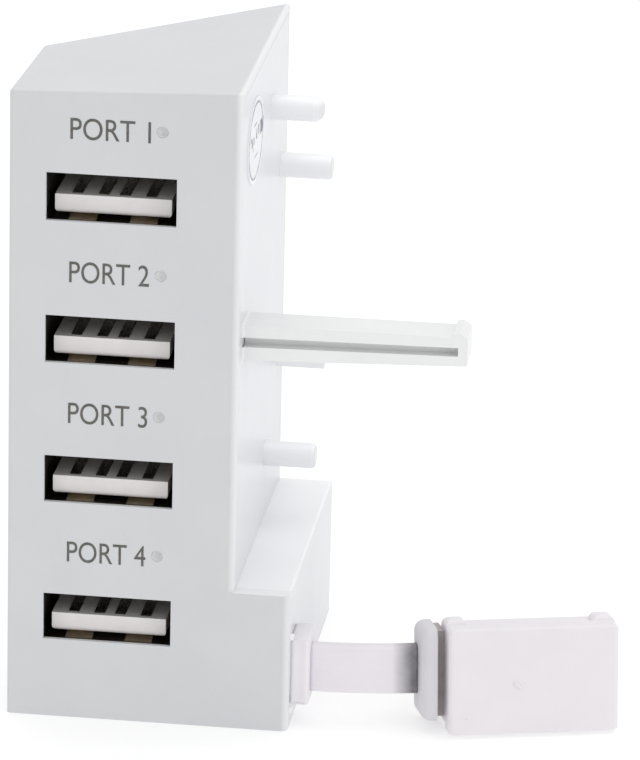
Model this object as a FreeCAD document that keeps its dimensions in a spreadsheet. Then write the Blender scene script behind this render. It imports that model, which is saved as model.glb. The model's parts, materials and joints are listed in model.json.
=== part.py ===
import FreeCAD, Part
import math
import os
import re

import Sketcher

# A four-port hub that clips on to the left side of a flat game console.
# Frame: millimetres, +X towards the console, +Y to the back, +Z up.
# The origin is the centre of the base's outline on the surface that the hub stands on.

SIZES = [
    # housing
    ("tower_width", 22.0, "front face, from the outer wall to the face against the console"),
    ("foot_width", 27.4, "base, which reaches under the console's side"),
    ("depth", 33.3, "along the face against the console"),
    ("shoulder_depth", 15.7, "outer wall, before the back slants away"),
    ("outer_lean", 0.5, "how far the outer wall leans in by its back edge"),
    ("right_height", 63.5, "height at the console, the height of the console itself"),
    ("left_height", 62.7, "height at the outer wall"),
    ("foot_height", 13.9, "top of the step that goes under the console"),
    ("skin", 1.6, "wall thickness"),
    ("seam", 0.8, "width of the housing's rim outside the side cover"),
    ("seam_gap", 0.05, "gap all round the side cover"),
    ("soft_edge", 0.35, "rounding of the outer edges"),
    ("front_edge", 0.7, "rounding of the upright edge beside the console"),
    # sockets
    ("port_count", 4, "sockets, one above another"),
    ("port_pitch", 14.06, "from one socket to the next"),
    ("port_middle", 9.72, "middle of the sockets, from the outer wall"),
    ("port_height", 52.5, "middle of the top socket, above the base"),
    ("mouth_width", 12.4, "opening in the housing"),
    ("mouth_height", 4.7, "opening in the housing"),
    ("mouth_lip", 0.45, "thickness of the housing left round each opening"),
    ("shell_width", 13.1, "metal shell, outside"),
    ("shell_height", 5.72, "metal shell, outside"),
    ("shell_depth", 14.0, "metal shell, front to back"),
    ("sheet_metal", 0.3, "metal shell's thickness"),
    ("tongue_width", 11.1, "insulator's tongue"),
    ("tongue_thick", 1.84, "insulator's tongue"),
    ("tongue_setback", 0.85, "from the shell's front edge to the tongue"),
    ("tongue_clear", 0.62, "from the shell's floor to the tongue"),
    ("block_depth", 3.0, "insulator's back block"),
    ("contact_wide", 1.0, "contact blade"),
    ("contact_thick", 0.25, "contact blade"),
    ("tail_size", 0.5, "contact tail, soldered through the board"),
    # indicators
    ("lamp_middle", 14.5, "indicator, from the outer wall"),
    ("lamp_above", 6.85, "indicator, above the middle of its socket"),
    ("lens_radius", 0.55, "indicator lens"),
    # console side
    ("peg_radius", 1.25, "locating peg"),
    ("peg_length", 5.1, "locating peg, out of the side cover"),
    ("peg_round", 0.35, "rounding of two of the pegs' ends"),
    ("peg_dome", 1.05, "rounding of the top peg's end"),
    ("tab_length", 4.7, "flat tab"),
    ("tab_deep", 3.0, "flat tab, front to back"),
    ("tab_thick", 2.0, "flat tab"),
    ("arm_length", 21.4, "snap arm"),
    ("arm_deep", 4.2, "snap arm, front to back"),
    ("arm_front", 2.8, "snap arm's front face, behind the front of the hub"),
    ("arm_height", 38.2, "middle of the snap arm's root, above the base"),
    ("arm_thick", 3.56, "snap arm at its root"),
    ("arm_tip_thick", 2.88, "snap arm at its tip"),
    ("arm_rise", 0.4, "how much higher the middle of the tip is"),
    ("groove_tall", 0.95, "groove along the arm's front"),
    ("groove_deep", 1.3, "groove along the arm's front"),
    ("arm_end_wall", 0.9, "solid end of the arm"),
    ("barb_tall", 0.45, "barb on top of the tip"),
    ("barb_long", 1.5, "barb on top of the tip"),
    ("arm_gap", 0.06, "room for the arm's root to turn as the arm flexes"),
    # circuit board
    ("board_thick", 1.6, "circuit board"),
    ("board_front", 2.2, "board's front edge, behind the front of the hub"),
    ("board_depth", 24.0, "circuit board, front to back"),
    ("board_bottom", 2.4, "board's lower edge, above the base"),
    ("board_tall", 58.4, "circuit board"),
    ("post_length", 2.0, "from the side cover to the board"),
    # short flat lead and its plug
    ("gland_out", 1.8, "gland, out of the foot"),
    ("gland_deep", 4.1, "gland, front to back"),
    ("gland_tall", 7.0, "gland"),
    ("gland_middle", 5.7, "middle of the gland, above the base"),
    ("lead_back", 3.55, "middle of the lead, behind the front of the hub"),
    ("lead_height", 5.55, "middle of the lead, above the surface"),
    ("lead_tall", 4.8, "flat lead, edge to edge"),
    ("lead_thick", 1.8, "flat lead"),
    ("lead_radius", 37.7, "bend of the lead's middle line"),
    ("plug_yaw", 15.5, "degrees that the lead turns the plug to the back"),
    ("plug_tip_down", 8.5, "degrees that the plug's metal end dips, turned about the lead's end"),
    ("collar_long", 1.55, "plug's strain relief, along the lead"),
    ("collar_low", 0.8, "plug's strain relief, above the surface before the plug is tipped"),
    ("collar_tall", 9.2, "plug's strain relief"),
    ("collar_front", 3.1, "collar's front, from the middle of the lead"),
    ("collar_back", 2.4, "collar's back, from the middle of the lead"),
    ("neck_long", 0.9, "waist between the collar and the grip"),
    ("grip_long", 16.6, "plug's grip"),
    ("grip_low", -0.3, "plug's grip, above the surface before the plug is tipped"),
    ("grip_tall", 10.48, "plug's grip"),
    ("grip_front", 4.3, "grip's front face, from the middle of the lead"),
    ("grip_plate", 2.6, "grip's front plate, front to back"),
    ("grip_body", 3.3, "grip behind its front plate, front to back"),
    ("ear_wide", 2.2, "corner post at each end of the grip"),
    ("ear_deep", 2.0, "corner post at each end of the grip"),
    ("ear_proud", 0.45, "how far the corner posts stand above the front plate"),
    ("plug_wide", 12.0, "plug's metal shell"),
    ("plug_tall", 4.5, "plug's metal shell"),
    ("plug_out", 11.75, "plug's metal shell, out of the grip"),
    ("plug_in", 4.2, "plug's metal shell, held in the grip"),
    ("plug_drop", 0.5, "how far the metal shell's middle is below the middle of the grip"),
    ("plug_metal", 0.3, "thickness of the plug's metal shell"),
    ("plug_insert", 1.9, "thickness of the plug's insulator"),
    # paper label
    ("label_back", 8.9, "middle of the label, behind the front of the hub"),
    ("label_up", 56.45, "middle of the label, above the base"),
    ("label_deep", 10.8, "label, front to back"),
    ("label_tall", 8.3, "label, top to bottom"),
    ("label_thick", 0.1, "label's paper"),
]
VALUE = {name: value for name, value, _ in SIZES}
NAMES = re.compile(r"\b(" + "|".join(VALUE) + r")\b")

doc = FreeCAD.newDocument("ConsoleHub")
sheet = doc.addObject("Spreadsheet::Sheet", "Sizes")
for row, (name, value, note) in enumerate(SIZES, start=1):
    sheet.set(f"A{row}", note)
    sheet.set(f"B{row}", str(value))
    sheet.setAlias(f"B{row}", name)
doc.recompute()

# Places on the hub that many sub-parts use, as expressions of the sheet's cells.
LEFT = "(-foot_width / 2)"
FOOT = "(foot_width / 2)"
FACE = "(tower_width - foot_width / 2)"
FRONT = "(-depth / 2)"
REAR = "(depth / 2)"
BOARD_RIGHT = "(tower_width - foot_width / 2 - skin - post_length)"
BOARD_LEFT = "(tower_width - foot_width / 2 - skin - post_length - board_thick)"

SUBPARTS = []


def cells(text):
    """Puts the sheet's name before each cell's alias in an expression."""
    return NAMES.sub(lambda found: "Sizes." + found.group(), str(text))


def bind(thing, **texts):
    """Binds properties to expressions. A double underscore stands for a dot in a property's path."""
    for path, text in texts.items():
        thing.setExpression(path.replace("__", "."), cells(text))
    return thing


def place(thing, where=("0", "0", "0"), turn="0"):
    """Sets a Placement by expressions: a point, and a turn about +Z in degrees."""
    for axis, text in zip("xyz", where):
        thing.setExpression(f"Placement.Base.{axis}", cells(text))
    thing.setExpression("Placement.Rotation.Angle", cells(turn))
    return thing


def finished(thing, label):
    """Names a sub-part and keeps it for the export."""
    thing.Label = label
    SUBPARTS.append(thing)
    return thing


# PartDesign helpers


def new_body(label):
    body = doc.addObject("PartDesign::Body", label + "_body")
    return finished(body, label)


def new_sketch(body, name, plane, offset="0"):
    """A sketch on one of the body's own origin planes, lifted along that plane's normal."""
    sketch = body.newObject("Sketcher::SketchObject", name)
    support = [f for f in body.Origin.OriginFeatures if f.Role == plane][0]
    sketch.AttachmentSupport = [(support, "")]
    sketch.MapMode = "FlatFace"
    sketch.setExpression("AttachmentOffset.Base.z", cells(offset))
    return sketch


def hold(sketch, geometry, vertex, x, y):
    """Ties a point of a sketch to two expressions, measured from the sketch's origin."""
    for kind, text in (("DistanceX", x), ("DistanceY", y)):
        number = sketch.addConstraint(Sketcher.Constraint(kind, -1, 1, geometry, vertex, 1.0))
        sketch.setExpression(f"Constraints[{number}]", cells(text))


def polygon(sketch, corners):
    """A closed outline with each corner tied to expressions."""
    count = len(corners)
    first = sketch.GeometryCount
    spots = [
        FreeCAD.Vector(10 * math.cos(2 * math.pi * n / count), 10 * math.sin(2 * math.pi * n / count), 0)
        for n in range(count)
    ]
    for n in range(count):
        sketch.addGeometry(Part.LineSegment(spots[n], spots[(n + 1) % count]), False)
    for n in range(count):
        following = first + (n + 1) % count
        sketch.addConstraint(Sketcher.Constraint("Coincident", first + n, 2, following, 1))
    for n, (x, y) in enumerate(corners):
        hold(sketch, first + n, 1, x, y)


def rectangle(sketch, x0, y0, x1, y1):
    polygon(sketch, [(x0, y0), (x1, y0), (x1, y1), (x0, y1)])


def circle(sketch, x, y, radius):
    number = sketch.addGeometry(Part.Circle(FreeCAD.Vector(1, 1, 0), FreeCAD.Vector(0, 0, 1), 1), False)
    hold(sketch, number, 3, x, y)
    size = sketch.addConstraint(Sketcher.Constraint("Radius", number, 1.0))
    sketch.setExpression(f"Constraints[{size}]", cells(radius))


def feature(body, kind, sketch, length, reverse=False):
    """A Pad or a Pocket, checked to have added or taken away material."""
    doc.recompute()
    before = 0.0 if body.Shape.isNull() else body.Shape.Volume
    made = body.newObject("PartDesign::" + kind, kind + "_" + sketch.Name)
    made.Profile = sketch
    made.setExpression("Length", cells(length))
    made.Reversed = reverse
    doc.recompute()
    change = body.Shape.Volume - before
    if (kind == "Pad" and change < 1e-3) or (kind == "Pocket" and change > -1e-3):
        raise RuntimeError(f"{body.Label}: {kind} of {sketch.Name} changed the volume by {change:.4f}")
    return made


def pad(body, name, plane, offset, length, draw, reverse=False):
    sketch = new_sketch(body, name, plane, offset)
    draw(sketch)
    return feature(body, "Pad", sketch, length, reverse)


def pocket(body, name, plane, offset, length, draw, reverse=False):
    sketch = new_sketch(body, name, plane, offset)
    draw(sketch)
    return feature(body, "Pocket", sketch, length, reverse)


def edges_at(shape, test):
    """Names of the edges whose middle and ends pass the test."""
    names = []
    for number, edge in enumerate(shape.Edges, start=1):
        box = edge.BoundBox
        if test(box, edge):
            names.append(f"Edge{number}")
    return names


def soften(body, base, radius, test, kind="Fillet"):
    """Rounds or bevels the edges of a feature that pass the test."""
    names = edges_at(base.Shape, test)
    if not names:
        raise RuntimeError(f"{body.Label}: no edge to soften after {base.Name}")
    made = body.newObject("PartDesign::" + kind, f"{kind}_{base.Name}")
    made.Base = (base, names)
    made.setExpression("Radius" if kind == "Fillet" else "Size", cells(radius))
    doc.recompute()
    body.Tip = made
    return made


def along(box, axis):
    """True for an edge that runs along one axis only."""
    spans = {"x": box.XLength, "y": box.YLength, "z": box.ZLength}
    longest = spans.pop(axis)
    return longest > 1e-3 and max(spans.values()) < 1e-3


def near(a, b):
    return abs(a - b) < 1e-3


# Part primitive and boolean helpers


def block(name, low, high):
    """A Part::Box between two corners given as expressions."""
    box = doc.addObject("Part::Box", name)
    for side, from_text, to_text in zip(("Length", "Width", "Height"), low, high):
        box.setExpression(side, cells(f"({to_text}) - ({from_text})"))
    return place(box, low)


def rod(name, start, radius, length, axis="z"):
    """A Part::Cylinder from a point along one axis."""
    made = doc.addObject("Part::Cylinder", name)
    bind(made, Radius=radius, Height=length)
    turns = {
        "x": FreeCAD.Rotation(FreeCAD.Vector(0, 1, 0), 90),
        "y": FreeCAD.Rotation(FreeCAD.Vector(1, 0, 0), -90),
        "z": FreeCAD.Rotation(),
    }
    made.Placement = FreeCAD.Placement(FreeCAD.Vector(), turns[axis])
    for letter, text in zip("xyz", start):
        made.setExpression(f"Placement.Base.{letter}", cells(text))
    return made


def fuse(name, things):
    made = doc.addObject("Part::MultiFuse", name)
    made.Shapes = things
    made.Refine = True
    return made


def group(name, things):
    """Separate solids of one kind, kept together."""
    made = doc.addObject("Part::Compound", name)
    made.Links = things
    return made


def cut(name, base, tool):
    made = doc.addObject("Part::Cut", name)
    made.Base = base
    made.Tool = tool
    return made


def rounded(name, base, radius, test):
    """Part::Fillet on the edges of a solid that pass the test."""
    doc.recompute()
    made = doc.addObject("Part::Fillet", name)
    made.Base = base
    size = VALUE[radius] if isinstance(radius, str) else radius
    numbers = [int(n[4:]) for n in edges_at(base.Shape, test)]
    made.Edges = [(number, size, size) for number in numbers]
    return made


def port_level(number):
    """Height of the middle of a socket. Socket 1 is the top one."""
    return f"(port_height - {number - 1} * port_pitch)"


# Housing


def front_housing():
    """Front, outer wall, slanted back, top and floor, moulded in one and open towards the console."""
    body = new_body("front_housing")
    face_x = VALUE["tower_width"] - VALUE["foot_width"] / 2
    left_x, front_y = -VALUE["foot_width"] / 2, -VALUE["depth"] / 2
    shoulder_x, shoulder_y = left_x + VALUE["outer_lean"], front_y + VALUE["shoulder_depth"]

    def outer_edge(box):
        """Upright edges on the outline, and the edges round the top, but none of the hollow's."""
        if along(box, "z"):
            return any(near(box.XMin, x) and near(box.YMin, y)
                       for x, y in ((left_x, front_y), (shoulder_x, shoulder_y)))
        top = box.ZMax > VALUE["left_height"] - 0.05 - VALUE["skin"] * 0.5
        return top and box.XMin > left_x - 0.1 and (
            near(box.YMin, front_y) or box.XMin < shoulder_x + 0.1)

    shoulder = (f"{LEFT} + outer_lean", f"{FRONT} + shoulder_depth")

    def front_outline(sketch):
        polygon(sketch, [(LEFT, "0"), (FACE, "0"), (FACE, "right_height"), (LEFT, "left_height")])

    pad(body, "front_outline", "XZ_Plane", "depth / 2", "depth", front_outline, reverse=True)

    def behind(sketch):
        beyond_x, beyond_y = f"{LEFT} - 2", f"{REAR} + 2"
        polygon(sketch, [(LEFT, FRONT), shoulder, (FACE, REAR), (FACE, beyond_y),
                         (beyond_x, beyond_y), (beyond_x, FRONT)])

    tower = pocket(body, "behind_the_back", "XY_Plane", "0", "right_height + 1", behind, reverse=True)
    open_side = [
        f"Face{n}" for n, f in enumerate(tower.Shape.Faces, start=1)
        if near(f.BoundBox.XMin, face_x) and near(f.BoundBox.XMax, face_x)
    ]
    hollow = body.newObject("PartDesign::Thickness", "Hollow")
    hollow.Base = (tower, open_side)
    hollow.setExpression("Value", cells("skin"))
    hollow.Mode = 0
    hollow.Join = 1
    hollow.Reversed = True
    doc.recompute()
    if not 0.1 < hollow.Shape.Volume / tower.Shape.Volume < 0.5:
        raise RuntimeError("front_housing: the hollow is not a thin shell")
    beside_console = soften(
        body, hollow, "front_edge",
        lambda box, edge: along(box, "z") and near(box.YMin, front_y) and near(box.XMin, face_x),
    )
    soften(body, beside_console, "soft_edge",
           lambda box, edge: box.XMin < face_x - 1 and outer_edge(box))

    pad(body, "foot_front", "XZ_Plane", "depth / 2", "skin",
        lambda s: rectangle(s, f"{FACE} - skin", "0", FOOT, "foot_height"), reverse=True)
    pad(body, "foot_floor", "XY_Plane", "0", "skin",
        lambda s: rectangle(s, f"{FACE} - skin", FRONT, f"{FOOT} - skin", f"{REAR} - skin"))
    pocket(body, "cover_rebate", "YZ_Plane", FACE, "skin",
           lambda s: rectangle(s, f"{FRONT} + seam", "foot_height - skin",
                               f"{REAR} - seam", "right_height - seam"))

    def openings(sketch):
        middle = f"({LEFT} + port_middle)"
        rectangle(sketch, f"{middle} - mouth_width / 2", f"{port_level(1)} - mouth_height / 2",
                  f"{middle} + mouth_width / 2", f"{port_level(1)} + mouth_height / 2")
        circle(sketch, f"{LEFT} + lamp_middle", f"{port_level(1)} + lamp_above", "lens_radius")

    def recess(sketch):
        middle = f"({LEFT} + port_middle)"
        half_wide, half_tall = "(shell_width / 2 + 0.1)", "(shell_height / 2 + 0.1)"
        rectangle(sketch, f"{middle} - {half_wide}", f"{port_level(1)} - {half_tall}",
                  f"{middle} + {half_wide}", f"{port_level(1)} + {half_tall}")

    mouths = pocket(body, "openings", "XZ_Plane", "depth / 2", "skin", openings)
    down_the_front(body, mouths)
    recesses = pocket(body, "shell_recess", "XZ_Plane", "depth / 2 - mouth_lip", "skin", recess)
    four = down_the_front(body, recesses)
    soften(
        body, four, "front_edge",
        lambda box, edge: along(box, "z") and near(box.YMin, front_y) and near(box.XMin, -left_x),
    )
    return body


def down_the_front(body, original):
    """Repeats a pocket at each socket's height."""
    pattern = body.newObject("PartDesign::LinearPattern", "Four_" + original.Name)
    pattern.Originals = [original]
    upright = [f for f in body.Origin.OriginFeatures if f.Role == "Z_Axis"][0]
    pattern.Direction = (upright, [""])
    pattern.Reversed = True
    bind(pattern, Length="(port_count - 1) * port_pitch")
    pattern.setExpression("Occurrences", cells("port_count"))
    body.Tip = pattern
    doc.recompute()
    return pattern


PEGS = (  # middle of each peg, behind the front and above the base, and its end's rounding
    (21.65, 56.15, "peg_dome"),
    (29.45, 48.0, "peg_round"),
    (21.0, 20.8, "peg_round"),
)
TAB_FRONT, TAB_BOTTOM = 29.2, 27.1
POSTS = ((23.0, 47.5), (23.0, 22.0))  # board posts, behind the front and above the base
PILOT_RADIUS, POST_RADIUS = 0.65, 1.7


def side_cover():
    """The plate against the console, with its pegs and tab, and the rest of the foot."""
    body = new_body("side_cover")
    inner = f"({FACE} - skin)"

    pad(body, "plate", "YZ_Plane", inner, "skin",
        lambda s: rectangle(s, f"{FRONT} + seam + seam_gap", "foot_height - skin + seam_gap",
                            f"{REAR} - seam - seam_gap", "right_height - seam - seam_gap"))
    pad(body, "foot_top", "XY_Plane", "foot_height - skin + seam_gap", "skin - seam_gap",
        lambda s: rectangle(s, FACE, f"{FRONT} + skin", FOOT, REAR))
    pad(body, "foot_side", "YZ_Plane", f"{FOOT} - skin", "skin",
        lambda s: rectangle(s, f"{FRONT} + skin", "0", REAR, "foot_height"))
    pad(body, "foot_back", "XZ_Plane", f"-{REAR}", "skin",
        lambda s: rectangle(s, FACE, "0", FOOT, "foot_height"))
    pocket(body, "gland_slot", "YZ_Plane", f"{FOOT} + 1", "skin + 1",
           lambda s: rectangle(s, f"{FRONT} + skin - 1", "gland_middle - 2.55",
                               f"{FRONT} + lead_back + 1.6", "gland_middle + 3.35"))

    for number, (back, up, end) in enumerate(PEGS, start=1):
        peg = pad(body, f"peg_{number}", "YZ_Plane", FACE, "peg_length",
                  lambda s, back=back, up=up: circle(s, f"{FRONT} + {back}", str(up), "peg_radius"))
        tip_x = VALUE["tower_width"] - VALUE["foot_width"] / 2 + VALUE["peg_length"]
        soften(body, peg, end, lambda box, edge: near(box.XMin, tip_x) and near(box.XMax, tip_x))
    pad(body, "tab", "YZ_Plane", FACE, "tab_length",
        lambda s: rectangle(s, f"{FRONT} + {TAB_FRONT}", str(TAB_BOTTOM),
                            f"{FRONT} + {TAB_FRONT} + tab_deep", f"{TAB_BOTTOM} + tab_thick"))
    for number, (back, up) in enumerate(POSTS, start=1):
        pad(body, f"post_{number}", "YZ_Plane", inner, "post_length",
            lambda s, back=back, up=up: circle(s, f"{FRONT} + {back}", str(up), str(POST_RADIUS)),
            reverse=True)
        pocket(body, f"pilot_{number}", "YZ_Plane", BOARD_RIGHT, "post_length + skin / 2",
               lambda s, back=back, up=up: circle(s, f"{FRONT} + {back}", str(up), str(PILOT_RADIUS)),
               reverse=True)

    def outside_of_foot(box, edge):
        """The three edges that meet at the foot's outer top corner."""
        at_side = near(box.XMin, VALUE["foot_width"] / 2)
        at_back = near(box.YMin, VALUE["depth"] / 2)
        at_top = near(box.ZMin, VALUE["foot_height"])
        return (along(box, "y") and at_side and at_top or along(box, "z") and at_side and at_back
                or along(box, "x") and at_back and at_top)

    soften(body, body.Tip, "soft_edge", outside_of_foot)
    return body


def snap_arm():
    """The long arm that clips into the console: a tapered channel with a barb at its tip."""
    body = new_body("snap_arm")
    root = f"({FACE} + arm_gap)"
    tip = f"({FACE} + arm_length)"
    tip_middle = "(arm_height + arm_rise)"

    def outline(sketch):
        polygon(sketch, [
            (root, "arm_height - arm_thick / 2"),
            (tip, f"{tip_middle} - arm_tip_thick / 2"),
            (tip, f"{tip_middle} + arm_tip_thick / 2"),
            (f"{tip} - barb_long * 0.5", f"{tip_middle} + arm_tip_thick / 2 + barb_tall"),
            (f"{tip} - barb_long * 0.9", f"{tip_middle} + arm_tip_thick / 2 + barb_tall"),
            (f"{tip} - barb_long", f"{tip_middle} + arm_tip_thick / 2"),
            (root, "arm_height + arm_thick / 2"),
        ])

    def groove(sketch):
        end = f"({tip} - arm_end_wall)"
        polygon(sketch, [
            (root, "arm_height + 0.1 - groove_tall / 2"),
            (end, f"{tip_middle} - groove_tall * 0.45"),
            (end, f"{tip_middle} + groove_tall * 0.45"),
            (root, "arm_height + 0.1 + groove_tall / 2"),
        ])

    front = "(depth / 2 - arm_front)"
    pad(body, "arm_outline", "XZ_Plane", front, "arm_deep", outline, reverse=True)
    channel = pocket(body, "arm_groove", "XZ_Plane", front, "groove_deep", groove)
    tip_x = VALUE["tower_width"] - VALUE["foot_width"] / 2 + VALUE["arm_length"]
    soften(body, channel, "0.25",
           lambda box, edge: box.XLength > 15 and box.YLength < 1e-3 and abs(box.ZMax - 39) > 1.2
           or near(box.XMin, tip_x) and box.YLength > 3)
    return body


# Sockets, built round the middle of the mouth at the front face and then put in place


def socket_place(thing, number):
    return place(thing, (f"{LEFT} + port_middle", FRONT, port_level(number)))


FINGER_X, FINGER_WIDE, FINGER_FROM, FINGER_TO = 3.1, 2.6, 2.6, 9.0
LEG_SPOTS = (4.2, 11.2)
LEG_WIDE = 1.4
BOARD_REACH = "(tower_width - skin - post_length - port_middle)"  # socket's middle to the board's far face
TAIL_OUT = 0.7


def shell_parts(number):
    """Outer box, cavity, spring fingers and board legs of one socket shell."""
    wide, tall = "shell_width / 2", "shell_height / 2"
    front, back = "(mouth_lip + 0.05)", "(mouth_lip + 0.05 + shell_depth)"
    outside = block(f"shell_outside_{number}", (f"-{wide}", front, f"-{tall}"), (wide, back, tall))
    inside = block(
        f"shell_inside_{number}",
        (f"-{wide} + sheet_metal", f"{front} - 1", f"-{tall} + sheet_metal"),
        (f"{wide} - sheet_metal", f"{back} + 1", f"{tall} - sheet_metal"),
    )
    slits = []
    for side, (low, high) in {"floor": (f"-{tall} - 0.1", f"-{tall} + sheet_metal + 0.1"),
                              "roof": (f"{tall} - sheet_metal - 0.1", f"{tall} + 0.1")}.items():
        for hand, middle in (("a", -FINGER_X), ("b", FINGER_X)):
            left, right = middle - FINGER_WIDE / 2, middle + FINGER_WIDE / 2
            name = f"slit_{side}_{hand}_{number}"
            slits.append(block(name + "1", (left, FINGER_FROM, low), (left + 0.35, FINGER_TO, high)))
            slits.append(block(name + "2", (right - 0.35, FINGER_FROM, low), (right, FINGER_TO, high)))
            slits.append(block(name + "3", (left, FINGER_FROM, low), (right, FINGER_FROM + 0.35, high)))
    tail_slot = block(
        f"tail_slot_{number}",
        (f"{wide} - sheet_metal - 0.1", f"{back} - block_depth", "-1.6"),
        (f"{wide} + 0.1", f"{back} + 0.1", "1.6"),
    )
    legs = [
        block(f"leg_{n}_{number}", (f"{wide} - sheet_metal", spot, "-shell_height / 2"),
              (f"{BOARD_REACH} + {TAIL_OUT}", spot + LEG_WIDE, "-shell_height / 2 + sheet_metal"))
        for n, spot in enumerate(LEG_SPOTS, start=1)
    ]
    dimples = [
        rod(f"dimple_{side}_{hand}_{number}", (middle - FINGER_WIDE / 2 + 0.45, FINGER_FROM + 1.1, level),
            0.28, FINGER_WIDE - 0.9, "x")
        for side, level in (("floor", f"-{tall} + sheet_metal"), ("roof", f"{tall} - sheet_metal"))
        for hand, middle in (("a", -FINGER_X), ("b", FINGER_X))
    ]
    voids = fuse(f"shell_voids_{number}", [inside, tail_slot] + slits)
    hollow = cut(f"shell_tube_{number}", outside, voids)
    return fuse(f"shell_{number}", [hollow] + legs + dimples)


def contact_spots():
    """Middle of each contact across the tongue, and where its tail leaves, front to back."""
    return ((-3.5, 12.3), (-1.0, 13.0), (1.0, 13.7), (3.5, 11.6))


def contact_set(number, suffix, grow="0"):
    """Four blades lying in the tongue's top, each with a tail that runs to the board."""
    top = "(-shell_height / 2 + sheet_metal + tongue_clear + tongue_thick)"
    start = "(mouth_lip + 0.05 + tongue_setback + 0.55)"
    blades = []
    for n, (across, tail_back) in enumerate(contact_spots(), start=1):
        blade = block(
            f"blade_{n}_{suffix}_{number}",
            (f"{across} - contact_wide / 2 - {grow}", f"{start} - {grow}", f"{top} - contact_thick * 0.7"),
            (f"{across} + contact_wide / 2 + {grow}", f"{tail_back} + tail_size + {grow}",
             f"{top} + contact_thick * 0.3"),
        )
        tail_top = f"({top} - contact_thick * 0.7 + 0.1)"
        tail = block(
            f"tail_{n}_{suffix}_{number}",
            (f"{across}", f"{tail_back} - {grow}", f"{tail_top} - tail_size - {grow}"),
            (f"{BOARD_REACH} + {TAIL_OUT}", f"{tail_back} + tail_size + {grow}", tail_top),
        )
        blades.append(fuse(f"contact_{n}_{suffix}_{number}", [blade, tail]))
    return blades


def socket(number):
    """One socket: metal shell, insulator with its tongue, and four contacts."""
    finished(socket_place(shell_parts(number), number), f"socket_shell_{number}")

    wide = "(shell_width / 2 - sheet_metal - 0.02)"
    floor, roof = "(-shell_height / 2 + sheet_metal + 0.02)", "(shell_height / 2 - sheet_metal - 0.02)"
    back = "(mouth_lip + 0.05 + shell_depth)"
    rear = block(f"insulator_block_{number}", (f"-{wide}", f"{back} - block_depth", floor),
                 (wide, back, roof))
    tongue_floor = "(-shell_height / 2 + sheet_metal + tongue_clear)"
    tongue = block(
        f"insulator_tongue_{number}",
        ("-tongue_width / 2", "mouth_lip + 0.05 + tongue_setback", tongue_floor),
        ("tongue_width / 2", f"{back} - block_depth / 2", f"{tongue_floor} + tongue_thick"),
    )
    doc.recompute()
    low, front = tongue.Shape.BoundBox.ZMin, tongue.Shape.BoundBox.YMin

    def underneath(box, edge):
        """The tongue's two long lower edges and its lower front edge."""
        at_front = along(box, "x") and near(box.YMin, front)
        return near(box.ZMin, low) and (along(box, "y") or at_front)

    tongue_eased = rounded(f"tongue_eased_{number}", tongue, 0.45, underneath)
    slots = fuse(f"contact_slots_{number}", contact_set(number, "slot", grow="0.02"))
    solid = fuse(f"insulator_solid_{number}", [rear, tongue_eased])
    insulator = cut(f"insulator_{number}", solid, slots)
    finished(socket_place(insulator, number), f"socket_insulator_{number}")

    contacts = group(f"contacts_{number}", contact_set(number, "metal"))
    finished(socket_place(contacts, number), f"socket_contacts_{number}")


def indicator(number):
    """A clear lens pressed through the front wall, and the lamp on the board behind it."""
    spot = (f"{LEFT} + lamp_middle", FRONT, f"{port_level(number)} + lamp_above")
    pin = rod(f"lens_pin_{number}", ("0", "0.05", "0"), "lens_radius - 0.02", "skin", "y")
    head = rod(f"lens_head_{number}", ("0", "skin + 0.02", "0"), "lens_radius + 0.35", "0.6", "y")
    finished(place(fuse(f"lens_{number}", [pin, head]), spot), f"indicator_lens_{number}")

    to_board = "(tower_width - skin - post_length - board_thick - lamp_middle)"
    base = block(f"lamp_base_{number}", (f"{to_board} - 0.6", "2.9", "-0.9"), (to_board, "4.3", "0.9"))
    glow = block(f"lamp_dome_{number}", ("-0.75", "2.5", "-0.6"), (f"{to_board} - 0.6", "4.0", "0.6"))
    finished(place(fuse(f"lamp_{number}", [base, glow]), spot), f"indicator_lamp_{number}")


# Circuit board and what is soldered to it


def board_point(x, back, up):
    return (x, f"{FRONT} + {back}", str(up))


CORE_LEVELS = (-1.8, -0.6, 0.6, 1.8)
CORE_RADIUS = 0.45


def circuit_board():
    """A board that stands upright beside the sockets, with every hole that something passes through."""
    slab = block("board_slab", (BOARD_LEFT, f"{FRONT} + board_front", "board_bottom"),
                 (BOARD_RIGHT, f"{FRONT} + board_front + board_depth", "board_bottom + board_tall"))
    holes = [
        rod(f"board_hole_{n}", board_point(f"{BOARD_LEFT} - 1", back, up), "0.95", "board_thick + 2", "x")
        for n, (back, up) in enumerate(POSTS, start=1)
    ]
    holes += [
        rod(f"core_hole_{n}", (f"{BOARD_LEFT} - 1", f"{FRONT} + lead_back", f"lead_height + {level}"),
            "0.35", "board_thick + 2", "x")
        for n, level in enumerate(CORE_LEVELS, start=1)
    ]
    top = -VALUE["shell_height"] / 2 + VALUE["sheet_metal"] + VALUE["tongue_clear"] + VALUE["tongue_thick"]
    tail_level = top - VALUE["contact_thick"] * 0.7 - VALUE["tail_size"] / 2 + 0.1
    for number in range(1, VALUE["port_count"] + 1):
        level = port_level(number)
        holes += [
            rod(f"tail_hole_{n}_{number}",
                (f"{BOARD_LEFT} - 1", f"{FRONT} + {back} + tail_size / 2", f"{level} + {tail_level}"),
                "tail_size * 0.8", "board_thick + 2", "x")
            for n, (_, back) in enumerate(contact_spots(), start=1)
        ]
        leg_low = f"({level} - shell_height / 2)"
        holes += [
            block(f"leg_slot_{n}_{number}",
                  (f"{BOARD_LEFT} - 1", f"{FRONT} + {spot - 0.1}", f"{leg_low} - 0.1"),
                  (f"{BOARD_RIGHT} + 1", f"{FRONT} + {spot + LEG_WIDE + 0.1}",
                   f"{leg_low} + sheet_metal + 0.1"))
            for n, spot in enumerate(LEG_SPOTS, start=1)
        ]
    finished(cut("board", slab, fuse("board_holes", holes)), "circuit_board")


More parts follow.
